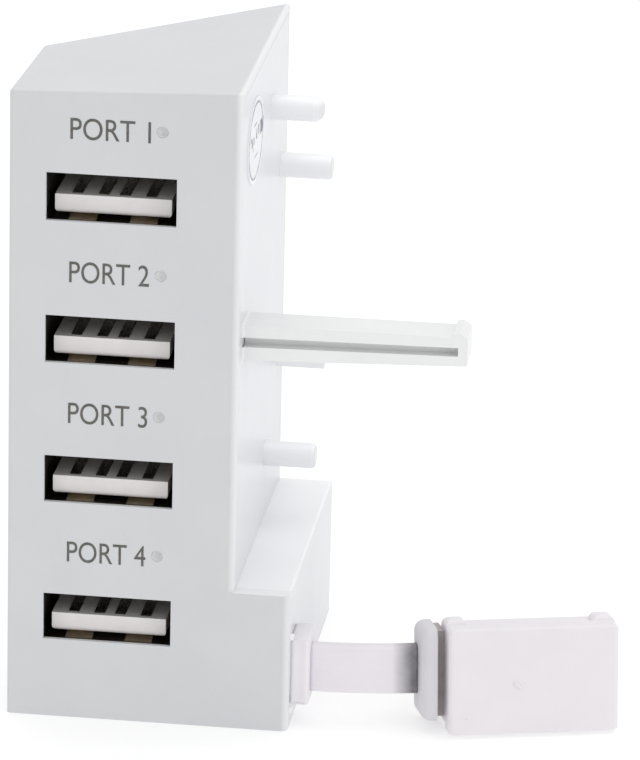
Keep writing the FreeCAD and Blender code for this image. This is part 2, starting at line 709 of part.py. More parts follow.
def board_screws():
    """Two pan-head screws that hold the board to the side cover's posts."""
    screws = []
    for n, (back, up) in enumerate(POSTS, start=1):
        head = rod(f"screw_head_{n}", board_point(f"{BOARD_LEFT} - 1.0", back, up), "1.6", "1.0", "x")
        shank = rod(f"screw_shank_{n}", board_point(f"{BOARD_LEFT} - 0.5", back, up),
                    f"{PILOT_RADIUS} - 0.02", "board_thick + 0.5 + post_length - 0.2", "x")
        slot = block(f"screw_slot_{n}", (f"{BOARD_LEFT} - 1.2", f"{FRONT} + {back - 1.2}", up - 0.2),
                     (f"{BOARD_LEFT} - 0.6", f"{FRONT} + {back + 1.2}", up + 0.2))
        upright = block(f"screw_cross_{n}", (f"{BOARD_LEFT} - 1.2", f"{FRONT} + {back - 0.2}", up - 1.2),
                        (f"{BOARD_LEFT} - 0.6", f"{FRONT} + {back + 0.2}", up + 1.2))
        whole = fuse(f"screw_{n}", [head, shank])
        screws.append(cut(f"screw_driven_{n}", whole, fuse(f"screw_drive_{n}", [slot, upright])))
    finished(group("screws", screws), "board_screws")


def hub_chip():
    """The controller in a flat package with leads along two sides, between the board and the cover."""
    back, up = 15.9, 34.0
    body = block("chip_body", (f"{BOARD_RIGHT} + 0.15", f"{FRONT} + {back}", up),
                 (f"{BOARD_RIGHT} + 1.6", f"{FRONT} + {back + 3.9}", up + 9.9))
    leads = [
        block(f"chip_lead_{side}_{n}",
              (BOARD_RIGHT, f"{FRONT} + {low}", up + 0.7 + 1.27 * n),
              (f"{BOARD_RIGHT} + 0.45", f"{FRONT} + {low + 1.1}", up + 1.1 + 1.27 * n))
        for side, low in (("front", back - 1.05), ("back", back + 3.85))
        for n in range(7)
    ]
    finished(fuse("chip", [body] + leads), "hub_chip")


def crystal():
    """A low metal can with rounded ends, beside the controller."""
    back, up, radius, length = 16.2, 23.6, 1.9, 6.0
    ends = [
        rod(f"crystal_end_{n}", board_point(f"{BOARD_RIGHT} + 0.1", back + radius, level),
            radius, "1.65", "x")
        for n, level in enumerate((up + radius, up + radius + length), start=1)
    ]
    middle = block("crystal_middle", (f"{BOARD_RIGHT} + 0.1", f"{FRONT} + {back}", up + radius),
                   (f"{BOARD_RIGHT} + 1.75", f"{FRONT} + {back + 2 * radius}", up + radius + length))
    pins = [
        rod(f"crystal_pin_{n}", board_point(BOARD_RIGHT, back + radius, level), 0.2, "0.2", "x")
        for n, level in enumerate((up + radius + 0.6, up + radius + length - 0.6), start=1)
    ]
    finished(fuse("crystal_can", ends + [middle] + pins), "crystal")


def small_parts(label, size, spots):
    """Chip components on the board's face towards the cover, as a group of like pieces."""
    thick, deep, tall = size
    pieces = [
        block(f"{label}_piece_{n}", (BOARD_RIGHT, f"{FRONT} + {back}", up),
              (f"{BOARD_RIGHT} + {thick}", f"{FRONT} + {back + deep}", up + tall))
        for n, (back, up) in enumerate(spots, start=1)
    ]
    finished(group(label + "_group", pieces), label)


def reservoir_capacitors():
    """Two upright aluminium cans behind the sockets, on the board's socket side."""
    cans = []
    for n, (back, up) in enumerate(((19.3, 36.5), (19.3, 11.5)), start=1):
        can = rod(f"can_{n}", board_point(f"{BOARD_LEFT} - 5.4", back, up), "2.5", "5.2", "x")
        foot = block(f"can_foot_{n}", (f"{BOARD_LEFT} - 0.35", f"{FRONT} + {back - 2.6}", up - 2.6),
                     (BOARD_LEFT, f"{FRONT} + {back + 2.6}", up + 2.6))
        cans.append(fuse(f"reservoir_{n}", [can, foot]))
    finished(group("reservoirs", cans), "reservoir_capacitors")


# Short flat lead


def cable_gland():
    """Soft strain relief: a block outside the foot, a waist in the wall's slot and a flange inside."""
    out = block("gland_outside",
                (FOOT, f"{FRONT} + lead_back - gland_deep / 2", "gland_middle - gland_tall / 2"),
                (f"{FOOT} + gland_out", f"{FRONT} + lead_back + gland_deep / 2",
                 "gland_middle + gland_tall / 2"))
    eased = rounded("gland_eased", out, 0.3,
                    lambda box, edge: box.XMin > VALUE["foot_width"] / 2 + 0.5 or along(box, "x"))
    waist = block("gland_waist", (f"{FOOT} - skin - 0.1", f"{FRONT} + skin + 0.02", "gland_middle - 2.53"),
                  (f"{FOOT} + 0.1", f"{FRONT} + lead_back + 1.58", "gland_middle + 3.33"))
    flange = block("gland_flange", (f"{FOOT} - skin - 1.3", f"{FRONT} + skin + 0.02", "gland_middle - 3.5"),
                   (f"{FOOT} - skin - 0.03", f"{FRONT} + lead_back + 2.6", "gland_middle + 4.0"))
    finished(fuse("gland", [eased, waist, flange]), "cable_gland")


LEAD_START = f"({FOOT} + gland_out)"
LEAD_MIDDLE = f"({FRONT} + lead_back)"


def flat_lead():
    """The lead between the gland and the plug: one even bend of a flat section."""
    profile = doc.addObject("Sketcher::SketchObject", "lead_section")
    profile.Placement = FreeCAD.Placement(FreeCAD.Vector(), FreeCAD.Rotation(0.5, 0.5, 0.5, 0.5))
    rectangle(profile, "-lead_thick / 2", "lead_height - lead_tall / 2",
              "lead_thick / 2", "lead_height + lead_tall / 2")
    swept = doc.addObject("Part::Revolution", "lead_bend")
    swept.Source = profile
    swept.Axis = (0, 0, 1)
    swept.Solid = True
    bind(swept, Base__y="lead_radius", Angle="plug_yaw")
    eased = rounded("lead_eased", swept, 0.45,
                    lambda box, edge: box.ZLength < 1e-3 and box.XLength > 5)
    finished(place(eased, (LEAD_START, LEAD_MIDDLE, "0")), "flat_lead")


def lead_cores():
    """The lead's four insulated cores, from the gland to their holes in the board."""
    start = BOARD_RIGHT
    pieces = []
    for n, level in enumerate(CORE_LEVELS, start=1):
        back, height = f"{FRONT} + lead_back", f"lead_height + {level}"
        jacket = rod(f"core_jacket_{n}", (f"{start} + 0.5", back, height),
                     CORE_RADIUS, f"{FOOT} - skin - 1.32 - {start} - 0.5", "x")
        wire = rod(f"core_wire_{n}", (f"{start} - board_thick - 0.4", back, height),
                   0.25, "board_thick + 1.4", "x")
        pieces.append(fuse(f"core_{n}", [jacket, wire]))
    finished(group("cores", pieces), "lead_cores")


# Plug, built upright where the lead enters it: +X along the plug's grip, +Y to its metal end


def plug_place(thing):
    """Tips a piece of the plug about the lead's own line, then puts it at the end of the lead's bend."""
    tip = "(plug_tip_down * 1deg)"
    bind(thing, Placement__Base__y=f"-lead_height * sin{tip}",
         Placement__Base__z=f"lead_height * (1 - cos{tip})")
    thing.Placement = FreeCAD.Placement(thing.Placement.Base, FreeCAD.Rotation(FreeCAD.Vector(1, 0, 0), -1))
    bind(thing, Placement__Rotation__Angle="-plug_tip_down")
    end_x = f"{LEAD_START} + lead_radius * sin(plug_yaw * 1deg)"
    end_y = f"{LEAD_MIDDLE} + lead_radius * (1 - cos(plug_yaw * 1deg))"
    return place(group(thing.Name + "_in_place", [thing]), (end_x, end_y, "0"), "plug_yaw")


GRIP_START = "(collar_long + neck_long)"
GRIP_MIDDLE = "(collar_long + neck_long + grip_long / 2)"
GRIP_BACK = "(-grip_front + grip_plate + grip_body)"
GRIP_TOP = "(grip_low + grip_tall)"
PLUG_LEVEL = "(grip_low + grip_tall / 2 - plug_drop)"


def plug_collar():
    """Soft strain relief moulded round the lead's end, with a waist before the grip."""
    shape = block("collar_block", ("0", "-collar_front", "collar_low"),
                  ("collar_long", "collar_back", "collar_low + collar_tall"))
    eased = rounded("collar_eased", shape, 1.0,
                    lambda box, edge: box.XMin < VALUE["collar_long"] - 1e-3)
    neck = block("collar_waist", ("collar_long - 0.2", "-collar_front + 1.5", "collar_low + 0.3"),
                 (GRIP_START, "collar_back - 0.4", "collar_low + collar_tall - 0.5"))
    finished(plug_place(fuse("collar", [eased, neck])), "plug_collar")


def plug_grip():
    """The grip: a front plate, a smaller body behind it and a post at each back corner."""
    plate = block("grip_plate_block", (GRIP_START, "-grip_front", "grip_low"),
                  (f"{GRIP_START} + grip_long", "-grip_front + grip_plate", GRIP_TOP))
    plate_round = rounded("grip_plate_round", plate, 0.45, lambda box, edge: True)
    back = block("grip_back", (f"{GRIP_START} + 0.9", "-grip_front + grip_plate - 0.6", "grip_low + 1.0"),
                 (f"{GRIP_START} + grip_long - 0.9", GRIP_BACK, f"{GRIP_TOP} - 0.35"))
    back_round = rounded("grip_back_round", back, 0.4,
                         lambda box, edge: box.YMax > box.YMin + 1 or box.YMin > 0)

    def post_top(box, edge):
        return (along(box, "y") or along(box, "x")) and box.ZMin > VALUE["grip_tall"] / 2

    posts = []
    for n, start in enumerate((GRIP_START, f"{GRIP_START} + grip_long - ear_wide"), start=1):
        post = block(f"grip_post_{n}", (start, "-grip_front + grip_plate - 0.5", "grip_low + 0.9"),
                     (f"{start} + ear_wide", "-grip_front + grip_plate + ear_deep",
                      f"{GRIP_TOP} + ear_proud"))
        posts.append(rounded(f"grip_post_round_{n}", post, 0.85, post_top))
    solid = fuse("grip_solid", [plate_round, back_round] + posts)
    hole = block("grip_bore",
                 (f"{GRIP_MIDDLE} - plug_wide / 2 - 0.01", f"{GRIP_BACK} - plug_in - 0.02",
                  f"{PLUG_LEVEL} - plug_tall / 2 - 0.01"),
                 (f"{GRIP_MIDDLE} + plug_wide / 2 + 0.01", f"{GRIP_BACK} + 1",
                  f"{PLUG_LEVEL} + plug_tall / 2 + 0.01"))
    finished(plug_place(cut("grip", solid, hole)), "plug_grip")


def plug_metal():
    """The plug's folded metal shell, with the four square windows that springs catch in."""
    low_x, high_x = f"({GRIP_MIDDLE} - plug_wide / 2)", f"({GRIP_MIDDLE} + plug_wide / 2)"
    low_z, high_z = f"({PLUG_LEVEL} - plug_tall / 2)", f"({PLUG_LEVEL} + plug_tall / 2)"
    start, end = f"({GRIP_BACK} - plug_in)", f"({GRIP_BACK} + plug_out)"
    outside = block("plug_outside", (low_x, start, low_z), (high_x, end, high_z))
    outside_round = rounded("plug_outside_round", outside, 0.4, lambda box, edge: along(box, "y"))
    inside = block("plug_inside", (f"{low_x} + plug_metal", f"{start} - 1", f"{low_z} + plug_metal"),
                   (f"{high_x} - plug_metal", f"{end} + 1", f"{high_z} - plug_metal"))
    windows = [
        block(f"plug_window_{side}_{n}",
              (f"{GRIP_MIDDLE} + {across} - 1.25", f"{end} - 6.4", f"{level} - 0.2"),
              (f"{GRIP_MIDDLE} + {across} + 1.25", f"{end} - 4.1", f"{level} + plug_metal + 0.2"))
        for side, level in (("low", low_z), ("high", f"{high_z} - plug_metal"))
        for n, across in enumerate((-2.9, 2.9), start=1)
    ]
    shell = cut("plug_tube", outside_round, fuse("plug_voids", [inside] + windows))
    finished(plug_place(shell), "plug_shell")

    inner_low = f"({low_x} + plug_metal + 0.02)"
    inner_high = f"({high_x} - plug_metal - 0.02)"
    floor = f"({low_z} + plug_metal + 0.02)"
    core = block("plug_core", (inner_low, start, floor),
                 (inner_high, f"{end} - 0.4", f"{floor} + plug_insert"))
    heel = block("plug_heel", (inner_low, start, floor),
                 (inner_high, f"{GRIP_BACK} + 1.0", f"{high_z} - plug_metal - 0.02"))
    solid = fuse("plug_insulator_solid", [core, heel])
    grooves = fuse("plug_grooves", plug_blades("groove", 0.02))
    finished(plug_place(cut("plug_insulator_cut", solid, grooves)), "plug_insulator")
    finished(plug_place(group("plug_blades", plug_blades("metal", 0.0))), "plug_contacts")


def plug_blades(suffix, grow):
    """Four flat contacts on the insulator: the outer two reach further forward."""
    top = f"({PLUG_LEVEL} - plug_tall / 2 + plug_metal + 0.02 + plug_insert)"
    return [
        block(f"plug_blade_{n}_{suffix}",
              (f"{GRIP_MIDDLE} + {across - 0.5 - grow}", f"{GRIP_BACK} - plug_in + {0.4 - grow}",
               f"{top} - 0.2 - {grow}"),
              (f"{GRIP_MIDDLE} + {across + 0.5 + grow}", f"{GRIP_BACK} + plug_out - {short - grow}",
               f"{top} + 0.05"))
        for n, (across, short) in enumerate(((-3.5, 1.4), (-1.0, 2.4), (1.0, 2.4), (3.5, 1.4)), start=1)
    ]


def inspection_label():
    """A thin oval paper label on the side cover, its size read from the sheet."""
    deep, tall, thick = (sheet.get(name) for name in ("label_deep", "label_tall", "label_thick"))
    centre = FreeCAD.Vector(0, 0, 0)
    oval = Part.Ellipse(FreeCAD.Vector(0, deep / 2, 0), FreeCAD.Vector(0, 0, tall / 2), centre)
    face = Part.Face(Part.Wire([oval.toShape()]))
    label = doc.addObject("Part::Feature", "label_disc")
    label.Shape = face.extrude(FreeCAD.Vector(thick, 0, 0))
    finished(place(label, (FACE, f"{FRONT} + label_back", "label_up")), "inspection_label")


def build():
    front_housing()
    side_cover()
    snap_arm()
    for number in range(1, VALUE["port_count"] + 1):
        socket(number)
        indicator(number)
    circuit_board()
    board_screws()
    hub_chip()
    crystal()
    reservoir_capacitors()
    small_parts("ceramic_capacitors", (0.9, 1.25, 2.0),
                [(8.5, 52.0), (8.5, 42.0), (12.0, 42.0), (12.0, 45.0), (8.5, 10.0)])
    resistor_row = [(5.0 + 1.6 * n, 32.5) for n in range(4)]
    resistor_column = [(10.6, 15.0 + 2.2 * n) for n in range(3)]
    small_parts("resistors", (0.5, 0.8, 1.6), resistor_row + resistor_column)
    small_parts("fuse", (0.9, 3.2, 4.5), [(6.5, 14.0)])
    cable_gland()
    flat_lead()
    lead_cores()
    plug_collar()
    plug_grip()
    plug_metal()
    inspection_label()


def check_and_export():
    """Stops if anything in the document failed, then writes one file for each sub-part."""
    doc.recompute()
    for thing in doc.Objects:
        bad = [word for word in thing.State if word in ("Invalid", "Error")]
        if bad:
            raise RuntimeError(f"{thing.Name} ({thing.Label}) is {bad}")
    os.makedirs("parts", exist_ok=True)
    for old in os.listdir("parts"):
        if old.endswith(".step"):
            os.remove(os.path.join("parts", old))
    for thing in SUBPARTS:
        shape = thing.Shape
        if shape.isNull() or not shape.isValid() or not shape.Solids:
            raise RuntimeError(f"{thing.Label} has no valid solid")
        shape.exportStep(f"parts/{thing.Label}.step")
        box = shape.BoundBox
        print(f"{thing.Label:24s} solids {len(shape.Solids):2d}  volume {shape.Volume:9.2f}  "
              f"x {box.XMin:7.2f} {box.XMax:7.2f}  y {box.YMin:7.2f} {box.YMax:7.2f}  "
              f"z {box.ZMin:7.2f} {box.ZMax:7.2f}")
    print(len(SUBPARTS), "sub-parts")


build()
check_and_export()
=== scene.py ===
import json
import math

import bmesh
import bpy
from mathutils import Matrix, Vector


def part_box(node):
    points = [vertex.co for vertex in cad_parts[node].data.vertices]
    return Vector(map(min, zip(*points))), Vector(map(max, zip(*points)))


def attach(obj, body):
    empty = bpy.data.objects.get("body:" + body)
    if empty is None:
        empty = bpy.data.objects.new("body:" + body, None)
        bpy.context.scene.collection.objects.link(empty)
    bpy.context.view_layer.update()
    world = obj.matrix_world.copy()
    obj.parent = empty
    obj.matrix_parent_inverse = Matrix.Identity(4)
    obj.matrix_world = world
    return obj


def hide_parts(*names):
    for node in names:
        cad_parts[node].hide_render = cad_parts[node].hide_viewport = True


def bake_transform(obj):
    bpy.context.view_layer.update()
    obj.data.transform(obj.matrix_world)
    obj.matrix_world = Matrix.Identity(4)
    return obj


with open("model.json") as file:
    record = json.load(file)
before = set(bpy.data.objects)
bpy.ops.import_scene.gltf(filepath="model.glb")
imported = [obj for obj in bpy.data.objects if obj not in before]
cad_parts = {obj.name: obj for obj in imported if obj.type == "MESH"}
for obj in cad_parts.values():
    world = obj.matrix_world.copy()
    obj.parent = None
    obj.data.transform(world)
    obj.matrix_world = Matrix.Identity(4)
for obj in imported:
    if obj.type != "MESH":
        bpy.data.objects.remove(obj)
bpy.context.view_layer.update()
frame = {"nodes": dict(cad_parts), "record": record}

MM = 0.001


# ---------------------------------------------------------------------------------------
# Studio. The hub stands on a large pale light table, seen from its front and a little from
# the right and above, with a soft lamp overhead and two on the console's side, one of them
# low down.

CAMERA_LENS, SENSOR_WIDE = 263.72, 36.0  # mm
CAMERA_PLACE = (0.074325, -0.509103, 0.206051)
CAMERA_TURN = (1.240320, -0.022633, 0.125454)  # radians about X, Y and Z
TABLE_HALF, TABLE_GLOW = 3.0, 0.48
TABLE_TONES = ((0.57, 0.57, 0.572, 1), (0.59, 0.59, 0.59, 1))
AIR_GLOW = 0.82

camera = bpy.data.cameras.new("hub_camera")
camera.lens = CAMERA_LENS
camera.sensor_width = SENSOR_WIDE
camera.clip_start, camera.clip_end = 0.05, 20.0
camera_stand = bpy.data.objects.new("hub_camera", camera)
camera_stand.location = CAMERA_PLACE
camera_stand.rotation_euler = CAMERA_TURN
bpy.context.scene.collection.objects.link(camera_stand)
bpy.context.scene.camera = camera_stand
bpy.context.scene.view_settings.view_transform = "Standard"


def plain_mesh(name, corners, faces, material, smooth=False):
    """A mesh object from corner points and faces, in metres in the hub's own frame."""
    mesh = bpy.data.meshes.new(name)
    mesh.from_pydata([tuple(c) for c in corners], [], faces)
    mesh.update()
    mesh.materials.append(material)
    for face in mesh.polygons:
        face.use_smooth = smooth
    made = bpy.data.objects.new(name, mesh)
    bpy.context.scene.collection.objects.link(made)
    return made


def new_material(name, **values):
    """A material with one Principled shader and its plain values, as (material, shader)."""
    material = bpy.data.materials.new(name)
    material.use_nodes = True
    shader = material.node_tree.nodes["Principled BSDF"]
    for socket, value in values.items():
        shader.inputs[socket.replace("_", " ")].default_value = value
    return material, shader


def add_node(tree, kind, settings=(), **values):
    """A node with its settings, and its inputs set to a value or linked to an output.

    An input goes by its name, or by i and its number where names repeat.
    """
    made = tree.nodes.new(kind)
    for key, value in dict(settings).items():
        setattr(made, key, value)
    for key, value in values.items():
        numbered = key[0] == "i" and key[1:].isdigit()
        socket = made.inputs[int(key[1:]) if numbered else key.replace("_", " ")]
        if isinstance(value, bpy.types.NodeSocket):
            tree.links.new(value, socket)
        else:
            socket.default_value = value
    return made


table_paint, table_shader = new_material("table_white", Roughness=0.9, Specular_IOR_Level=0.1,
                                         Emission_Strength=TABLE_GLOW, Emission_Color=(1, 1, 1, 1))
tree = table_paint.node_tree
where = add_node(tree, "ShaderNodeTexCoord")
cloud = add_node(tree, "ShaderNodeTexNoise", Vector=where.outputs["Object"], Scale=1.2, Detail=2.0)
tint = add_node(tree, "ShaderNodeMix", {"data_type": "RGBA"}, i0=cloud.outputs["Fac"],
                i6=TABLE_TONES[0], i7=TABLE_TONES[1])
tree.links.new(tint.outputs[2], table_shader.inputs["Base Color"])
table_top = plain_mesh(
    "table_top",
    [(x * TABLE_HALF, y * TABLE_HALF, 0.0) for x, y in ((-1, -1), (1, -1), (1, 1), (-1, 1))],
    [(0, 1, 2, 3)], table_paint)


def soft_lamp(name, place, aim, width, power):
    """A white square area lamp that points at a spot, in metres and watts."""
    lamp = bpy.data.lights.new(name, "AREA")
    lamp.shape = "SQUARE"
    lamp.size = width
    lamp.energy = power
    stand = bpy.data.objects.new(name, lamp)
    stand.location = place
    stand.rotation_euler = (Vector(aim) - Vector(place)).to_track_quat("-Z", "Y").to_euler()
    bpy.context.scene.collection.objects.link(stand)


soft_lamp("overhead_lamp", (0.05, 0.15, 1.1), (0.0, 0.0, 0.0), 0.9, 3.5)
soft_lamp("console_side_lamp", (0.9, -0.42, 0.42), (0.01, 0.0, 0.03), 0.35, 0.3)
soft_lamp("low_side_lamp", (0.8, -0.45, 0.06), (0.01, 0.0, 0.03), 0.3, 0.85)

studio_air = bpy.data.worlds.new("studio_air")
studio_air.use_nodes = True
studio_air.node_tree.nodes["Background"].inputs["Color"].default_value = (1.0, 1.0, 1.0, 1)
studio_air.node_tree.nodes["Background"].inputs["Strength"].default_value = AIR_GLOW
bpy.context.scene.world = studio_air


# ---------------------------------------------------------------------------------------
# Housing. One white styrene moulding: front, outer wall, slanted back, top and floor, with
# the front and floor of the foot. The tool was finely textured, so it is satin, with a
# faint cloudiness and the odd dust speck.

HOUSING_WHITE = (0.635, 0.645, 0.66, 1)
HOUSING_SHADE = (0.615, 0.628, 0.646, 1)


def new_group(name, inputs, outputs):
    """A shader node group with named sockets, as (group, its inputs' node, its outputs' node)."""
    group = bpy.data.node_groups.new(name, "ShaderNodeTree")
    for socket, kind, value in inputs:
        made = group.interface.new_socket(name=socket, in_out="INPUT",
                                          socket_type="NodeSocket" + kind)
        made.default_value = value
    for socket, kind in outputs:
        group.interface.new_socket(name=socket, in_out="OUTPUT", socket_type="NodeSocket" + kind)
    return group, group.nodes.new("NodeGroupInput"), group.nodes.new("NodeGroupOutput")


def maths(tree, operation, a, b=None):
    """A Math node's output for one or two values or sockets."""
    values = {"i0": a} if b is None else {"i0": a, "i1": b}
    return add_node(tree, "ShaderNodeMath", {"operation": operation}, **values).outputs["Value"]


def blend_colours(tree, factor, first, second):
    """A Mix node's colour, from one colour to the other."""
    return add_node(tree, "ShaderNodeMix", {"data_type": "RGBA"}, i0=factor, i6=first,
                    i7=second).outputs[2]


def step_between(tree, value, low, high, out_low=0.0, out_high=1.0):
    """A Map Range from low..high to out_low..out_high, held at its ends."""
    return add_node(tree, "ShaderNodeMapRange", {"clamp": True}, Value=value, From_Min=low,
                    From_Max=high, To_Min=out_low, To_Max=out_high).outputs["Result"]


# Moulded plastic: two shades in soft clouds, dust specks, a grained skin and an uneven polish.
SPECK_COLOUR, SPECK_SCALE, POLISH_SCALE = (0.36, 0.35, 0.33, 1), 420.0, 330.0
moulded, ins, outs = new_group(
    "moulded_plastic",
    [("Colour", "Color", HOUSING_WHITE), ("Shade", "Color", HOUSING_SHADE),
     ("Cloud size", "Float", 160.0), ("Specks", "Float", 0.25), ("Grain size", "Float", 5200.0),
     ("Roughness", "Float", 0.4), ("Polish", "Float", 0.12)],
    [("Colour", "Color"), ("Roughness", "Float"), ("Height", "Float")])
where = add_node(moulded, "ShaderNodeTexCoord").outputs["Object"]
cloud = add_node(moulded, "ShaderNodeTexNoise", Vector=where, Scale=ins.outputs["Cloud size"],
                 Detail=3.0, Roughness=0.55).outputs["Fac"]
base = blend_colours(moulded, step_between(moulded, cloud, 0.35, 0.65), ins.outputs["Colour"],
                     ins.outputs["Shade"])
speck = add_node(moulded, "ShaderNodeTexVoronoi", Vector=where, Scale=SPECK_SCALE, Randomness=1.0)
spot = step_between(moulded, speck.outputs["Distance"], 0.035, 0.06, 1.0, 0.0)
chosen = step_between(moulded, add_node(
    moulded, "ShaderNodeSeparateColor", Color=speck.outputs["Color"]).outputs["Red"], 0.9, 0.93)
dust = maths(moulded, "MULTIPLY", maths(moulded, "MULTIPLY", spot, chosen), ins.outputs["Specks"])
dusty = blend_colours(moulded, dust, base, SPECK_COLOUR)
grain = add_node(moulded, "ShaderNodeTexNoise", Vector=where, Scale=ins.outputs["Grain size"],
                 Detail=4.0, Roughness=0.6).outputs["Fac"]
polish = add_node(moulded, "ShaderNodeTexNoise", Vector=where, Scale=POLISH_SCALE,
                  Detail=2.0).outputs["Fac"]
uneven = maths(moulded, "MULTIPLY", maths(moulded, "SUBTRACT", polish, 0.5), ins.outputs["Polish"])
moulded.links.new(dusty, outs.inputs["Colour"])
moulded.links.new(maths(moulded, "ADD", ins.outputs["Roughness"], uneven), outs.inputs["Roughness"])
moulded.links.new(grain, outs.inputs["Height"])


def surface_from(material, shader, group, relief, **values):
    """Places a surface group in a material and feeds its colour, roughness and relief in metres."""
    tree = material.node_tree
    made = tree.nodes.new("ShaderNodeGroup")
    made.node_tree = group
    for socket, value in values.items():
        made.inputs[socket.replace("_", " ")].default_value = value
    tree.links.new(made.outputs["Colour"], shader.inputs["Base Color"])
    tree.links.new(made.outputs["Roughness"], shader.inputs["Roughness"])
    bump = add_node(tree, "ShaderNodeBump", Strength=1.0, Distance=relief, Height=made.outputs["Height"])
    tree.links.new(bump.outputs["Normal"], shader.inputs["Normal"])


def paint(material, *nodes):
    """Gives CAD nodes a material, in every slot that they have."""
    for node in nodes:
        piece = frame["nodes"][node]
        if not piece.material_slots:
            piece.data.materials.append(material)
        for slot in piece.material_slots:
            slot.material = material


# Painted facing light: faces towards the console, and level faces, get their own tone, painted light and
# shade for how the lamps fall on each side.
PAINTED_LIT_TONE = (0.8, 0.81, 0.83, 1)
painted_facing_light_group, ins, outs = new_group(
    "faced_white",
    [("Colour", "Color", HOUSING_WHITE), ("Console side", "Color", PAINTED_LIT_TONE),
     ("Level", "Color", PAINTED_LIT_TONE), ("Level amount", "Float", 1.0)],
    [("Colour", "Color")])
facing = add_node(painted_facing_light_group, "ShaderNodeSeparateXYZ",
                  Vector=add_node(painted_facing_light_group, "ShaderNodeTexCoord").outputs["Normal"])
towards = step_between(painted_facing_light_group, facing.outputs["X"], 0.1, 0.85)
upwards = maths(painted_facing_light_group, "MULTIPLY", step_between(painted_facing_light_group, facing.outputs["Z"], 0.3, 0.8),
                ins.outputs["Level amount"])
sided = blend_colours(painted_facing_light_group, towards, ins.outputs["Colour"], ins.outputs["Console side"])
painted_facing_light_group.links.new(blend_colours(painted_facing_light_group, upwards, sided, ins.outputs["Level"]), outs.inputs["Colour"])


def painted_facing_light_from(material, shader, **values):
    """Puts the painted facing light group between a material's colour and its shader, and returns its
    node.
    """
    tree = material.node_tree
    made = tree.nodes.new("ShaderNodeGroup")
    made.node_tree = painted_facing_light_group
    tree.links.new(shader.inputs["Base Color"].links[0].from_socket, made.inputs["Colour"])
    for socket, value in values.items():
        made.inputs[socket.replace("_", " ")].default_value = value
    tree.links.new(made.outputs["Colour"], shader.inputs["Base Color"])
    return made


housing_white, shader = new_material("housing_white", IOR=1.5, Specular_IOR_Level=0.45)
surface_from(housing_white, shader, moulded, 0.000004, Colour=HOUSING_WHITE, Shade=HOUSING_SHADE,
             Cloud_size=150.0, Specks=0.3, Grain_size=5200.0, Roughness=0.42, Polish=0.12)
# Painted light: lighter faces towards the console, and lighter level faces.
tone = painted_facing_light_from(housing_white, shader, Console_side=(0.77, 0.78, 0.79, 1),
                  Level=(0.86, 0.87, 0.885, 1))
tree = housing_white.node_tree
across = add_node(tree, "ShaderNodeSeparateXYZ",
                  Vector=add_node(tree, "ShaderNodeTexCoord").outputs["Object"])
wall_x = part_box("inspection_label")[0][0]  # the side cover's outer face, which the label is on
# The painted light on level faces is full on the foot beyond the side cover and faint above it.
FADE_WIDE, TOWER_LEVEL = 0.5 * MM, 0.1
foot_only = step_between(tree, across.outputs["X"], wall_x - FADE_WIDE, wall_x, TOWER_LEVEL, 1.0)
tree.links.new(foot_only, tone.inputs["Level amount"])
paint(housing_white, "front_housing")


# ---------------------------------------------------------------------------------------
# Port labels. A word and a number above each socket, pad-printed in dark warm grey ink
# that stands a little proud of the front.

PORTS = (1, 2, 3, 4)
LABEL_LEFT, LABEL_WIDE, LABEL_TALL = -7.9 * MM, 7.6 * MM, 2.1 * MM
LABEL_TOP, PORT_PITCH = 59.25 * MM, 14.06 * MM
INK, INK_PROUD = (0.105, 0.1, 0.092, 1), 0.02 * MM

label_ink, shader = new_material("label_ink", Specular_IOR_Level=0.3)
surface_from(label_ink, shader, moulded, 0.000002, Colour=INK, Shade=(0.15, 0.143, 0.13, 1),
             Cloud_size=2500.0, Specks=0.0, Grain_size=9000.0, Roughness=0.55, Polish=0.2)

front_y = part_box("front_housing")[0][1]
for port in PORTS:
    level = LABEL_TOP - (port - 1) * PORT_PITCH
    letters = bpy.data.curves.new(f"port_label_{port}", "FONT")
    letters.body = f"PORT {port}"
    letters.size = 1.0
    writing = bpy.data.objects.new("letters", letters)
    bpy.context.scene.collection.objects.link(writing)
    bpy.context.view_layer.update()
    written = writing.evaluated_get(bpy.context.evaluated_depsgraph_get())
    mesh = bpy.data.meshes.new_from_object(written)
    bpy.data.objects.remove(writing)
    low = Vector((min(v.co.x for v in mesh.vertices), min(v.co.y for v in mesh.vertices), 0))
    high = Vector((max(v.co.x for v in mesh.vertices), max(v.co.y for v in mesh.vertices), 0))
    for corner in mesh.vertices:
        across = (corner.co.x - low.x) / (high.x - low.x)
        up = (corner.co.y - low.y) / (high.y - low.y)
        corner.co = (LABEL_LEFT + across * LABEL_WIDE, front_y - INK_PROUD,
                     level + (up - 0.5) * LABEL_TALL)
    mesh.name = f"port_label_{port}"
    mesh.materials.clear()
    mesh.materials.append(label_ink)
    print_layer = bpy.data.objects.new(f"port_label_{port}", mesh)
    bpy.context.scene.collection.objects.link(print_layer)
    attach(print_layer, "hub")


# ---------------------------------------------------------------------------------------
# Side cover. The plate against the console with its pegs and tab, and the rest of the foot,
# in the same white styrene but from a polished tool, so it is glossier than the housing.

COVER_WHITE = (0.895, 0.90, 0.91, 1)

cover_white, shader = new_material("cover_white", IOR=1.5, Specular_IOR_Level=0.5)
surface_from(cover_white, shader, moulded, 0.0000015, Colour=COVER_WHITE, Shade=(0.88, 0.885, 0.90, 1),
             Cloud_size=120.0, Specks=0.05, Grain_size=4200.0, Roughness=0.3, Polish=0.08)
# Painted light and shade: darker faces towards the console, and lighter level faces.
painted_facing_light_from(cover_white, shader, Console_side=(0.71, 0.72, 0.75, 1), Level=(0.92, 0.925, 0.94, 1))
paint(cover_white, "side_cover")


# ---------------------------------------------------------------------------------------
# Snap arm. A springy channel of the same white styrene that clips into the console. It grows
# out of the cover with a small fillet round its root.

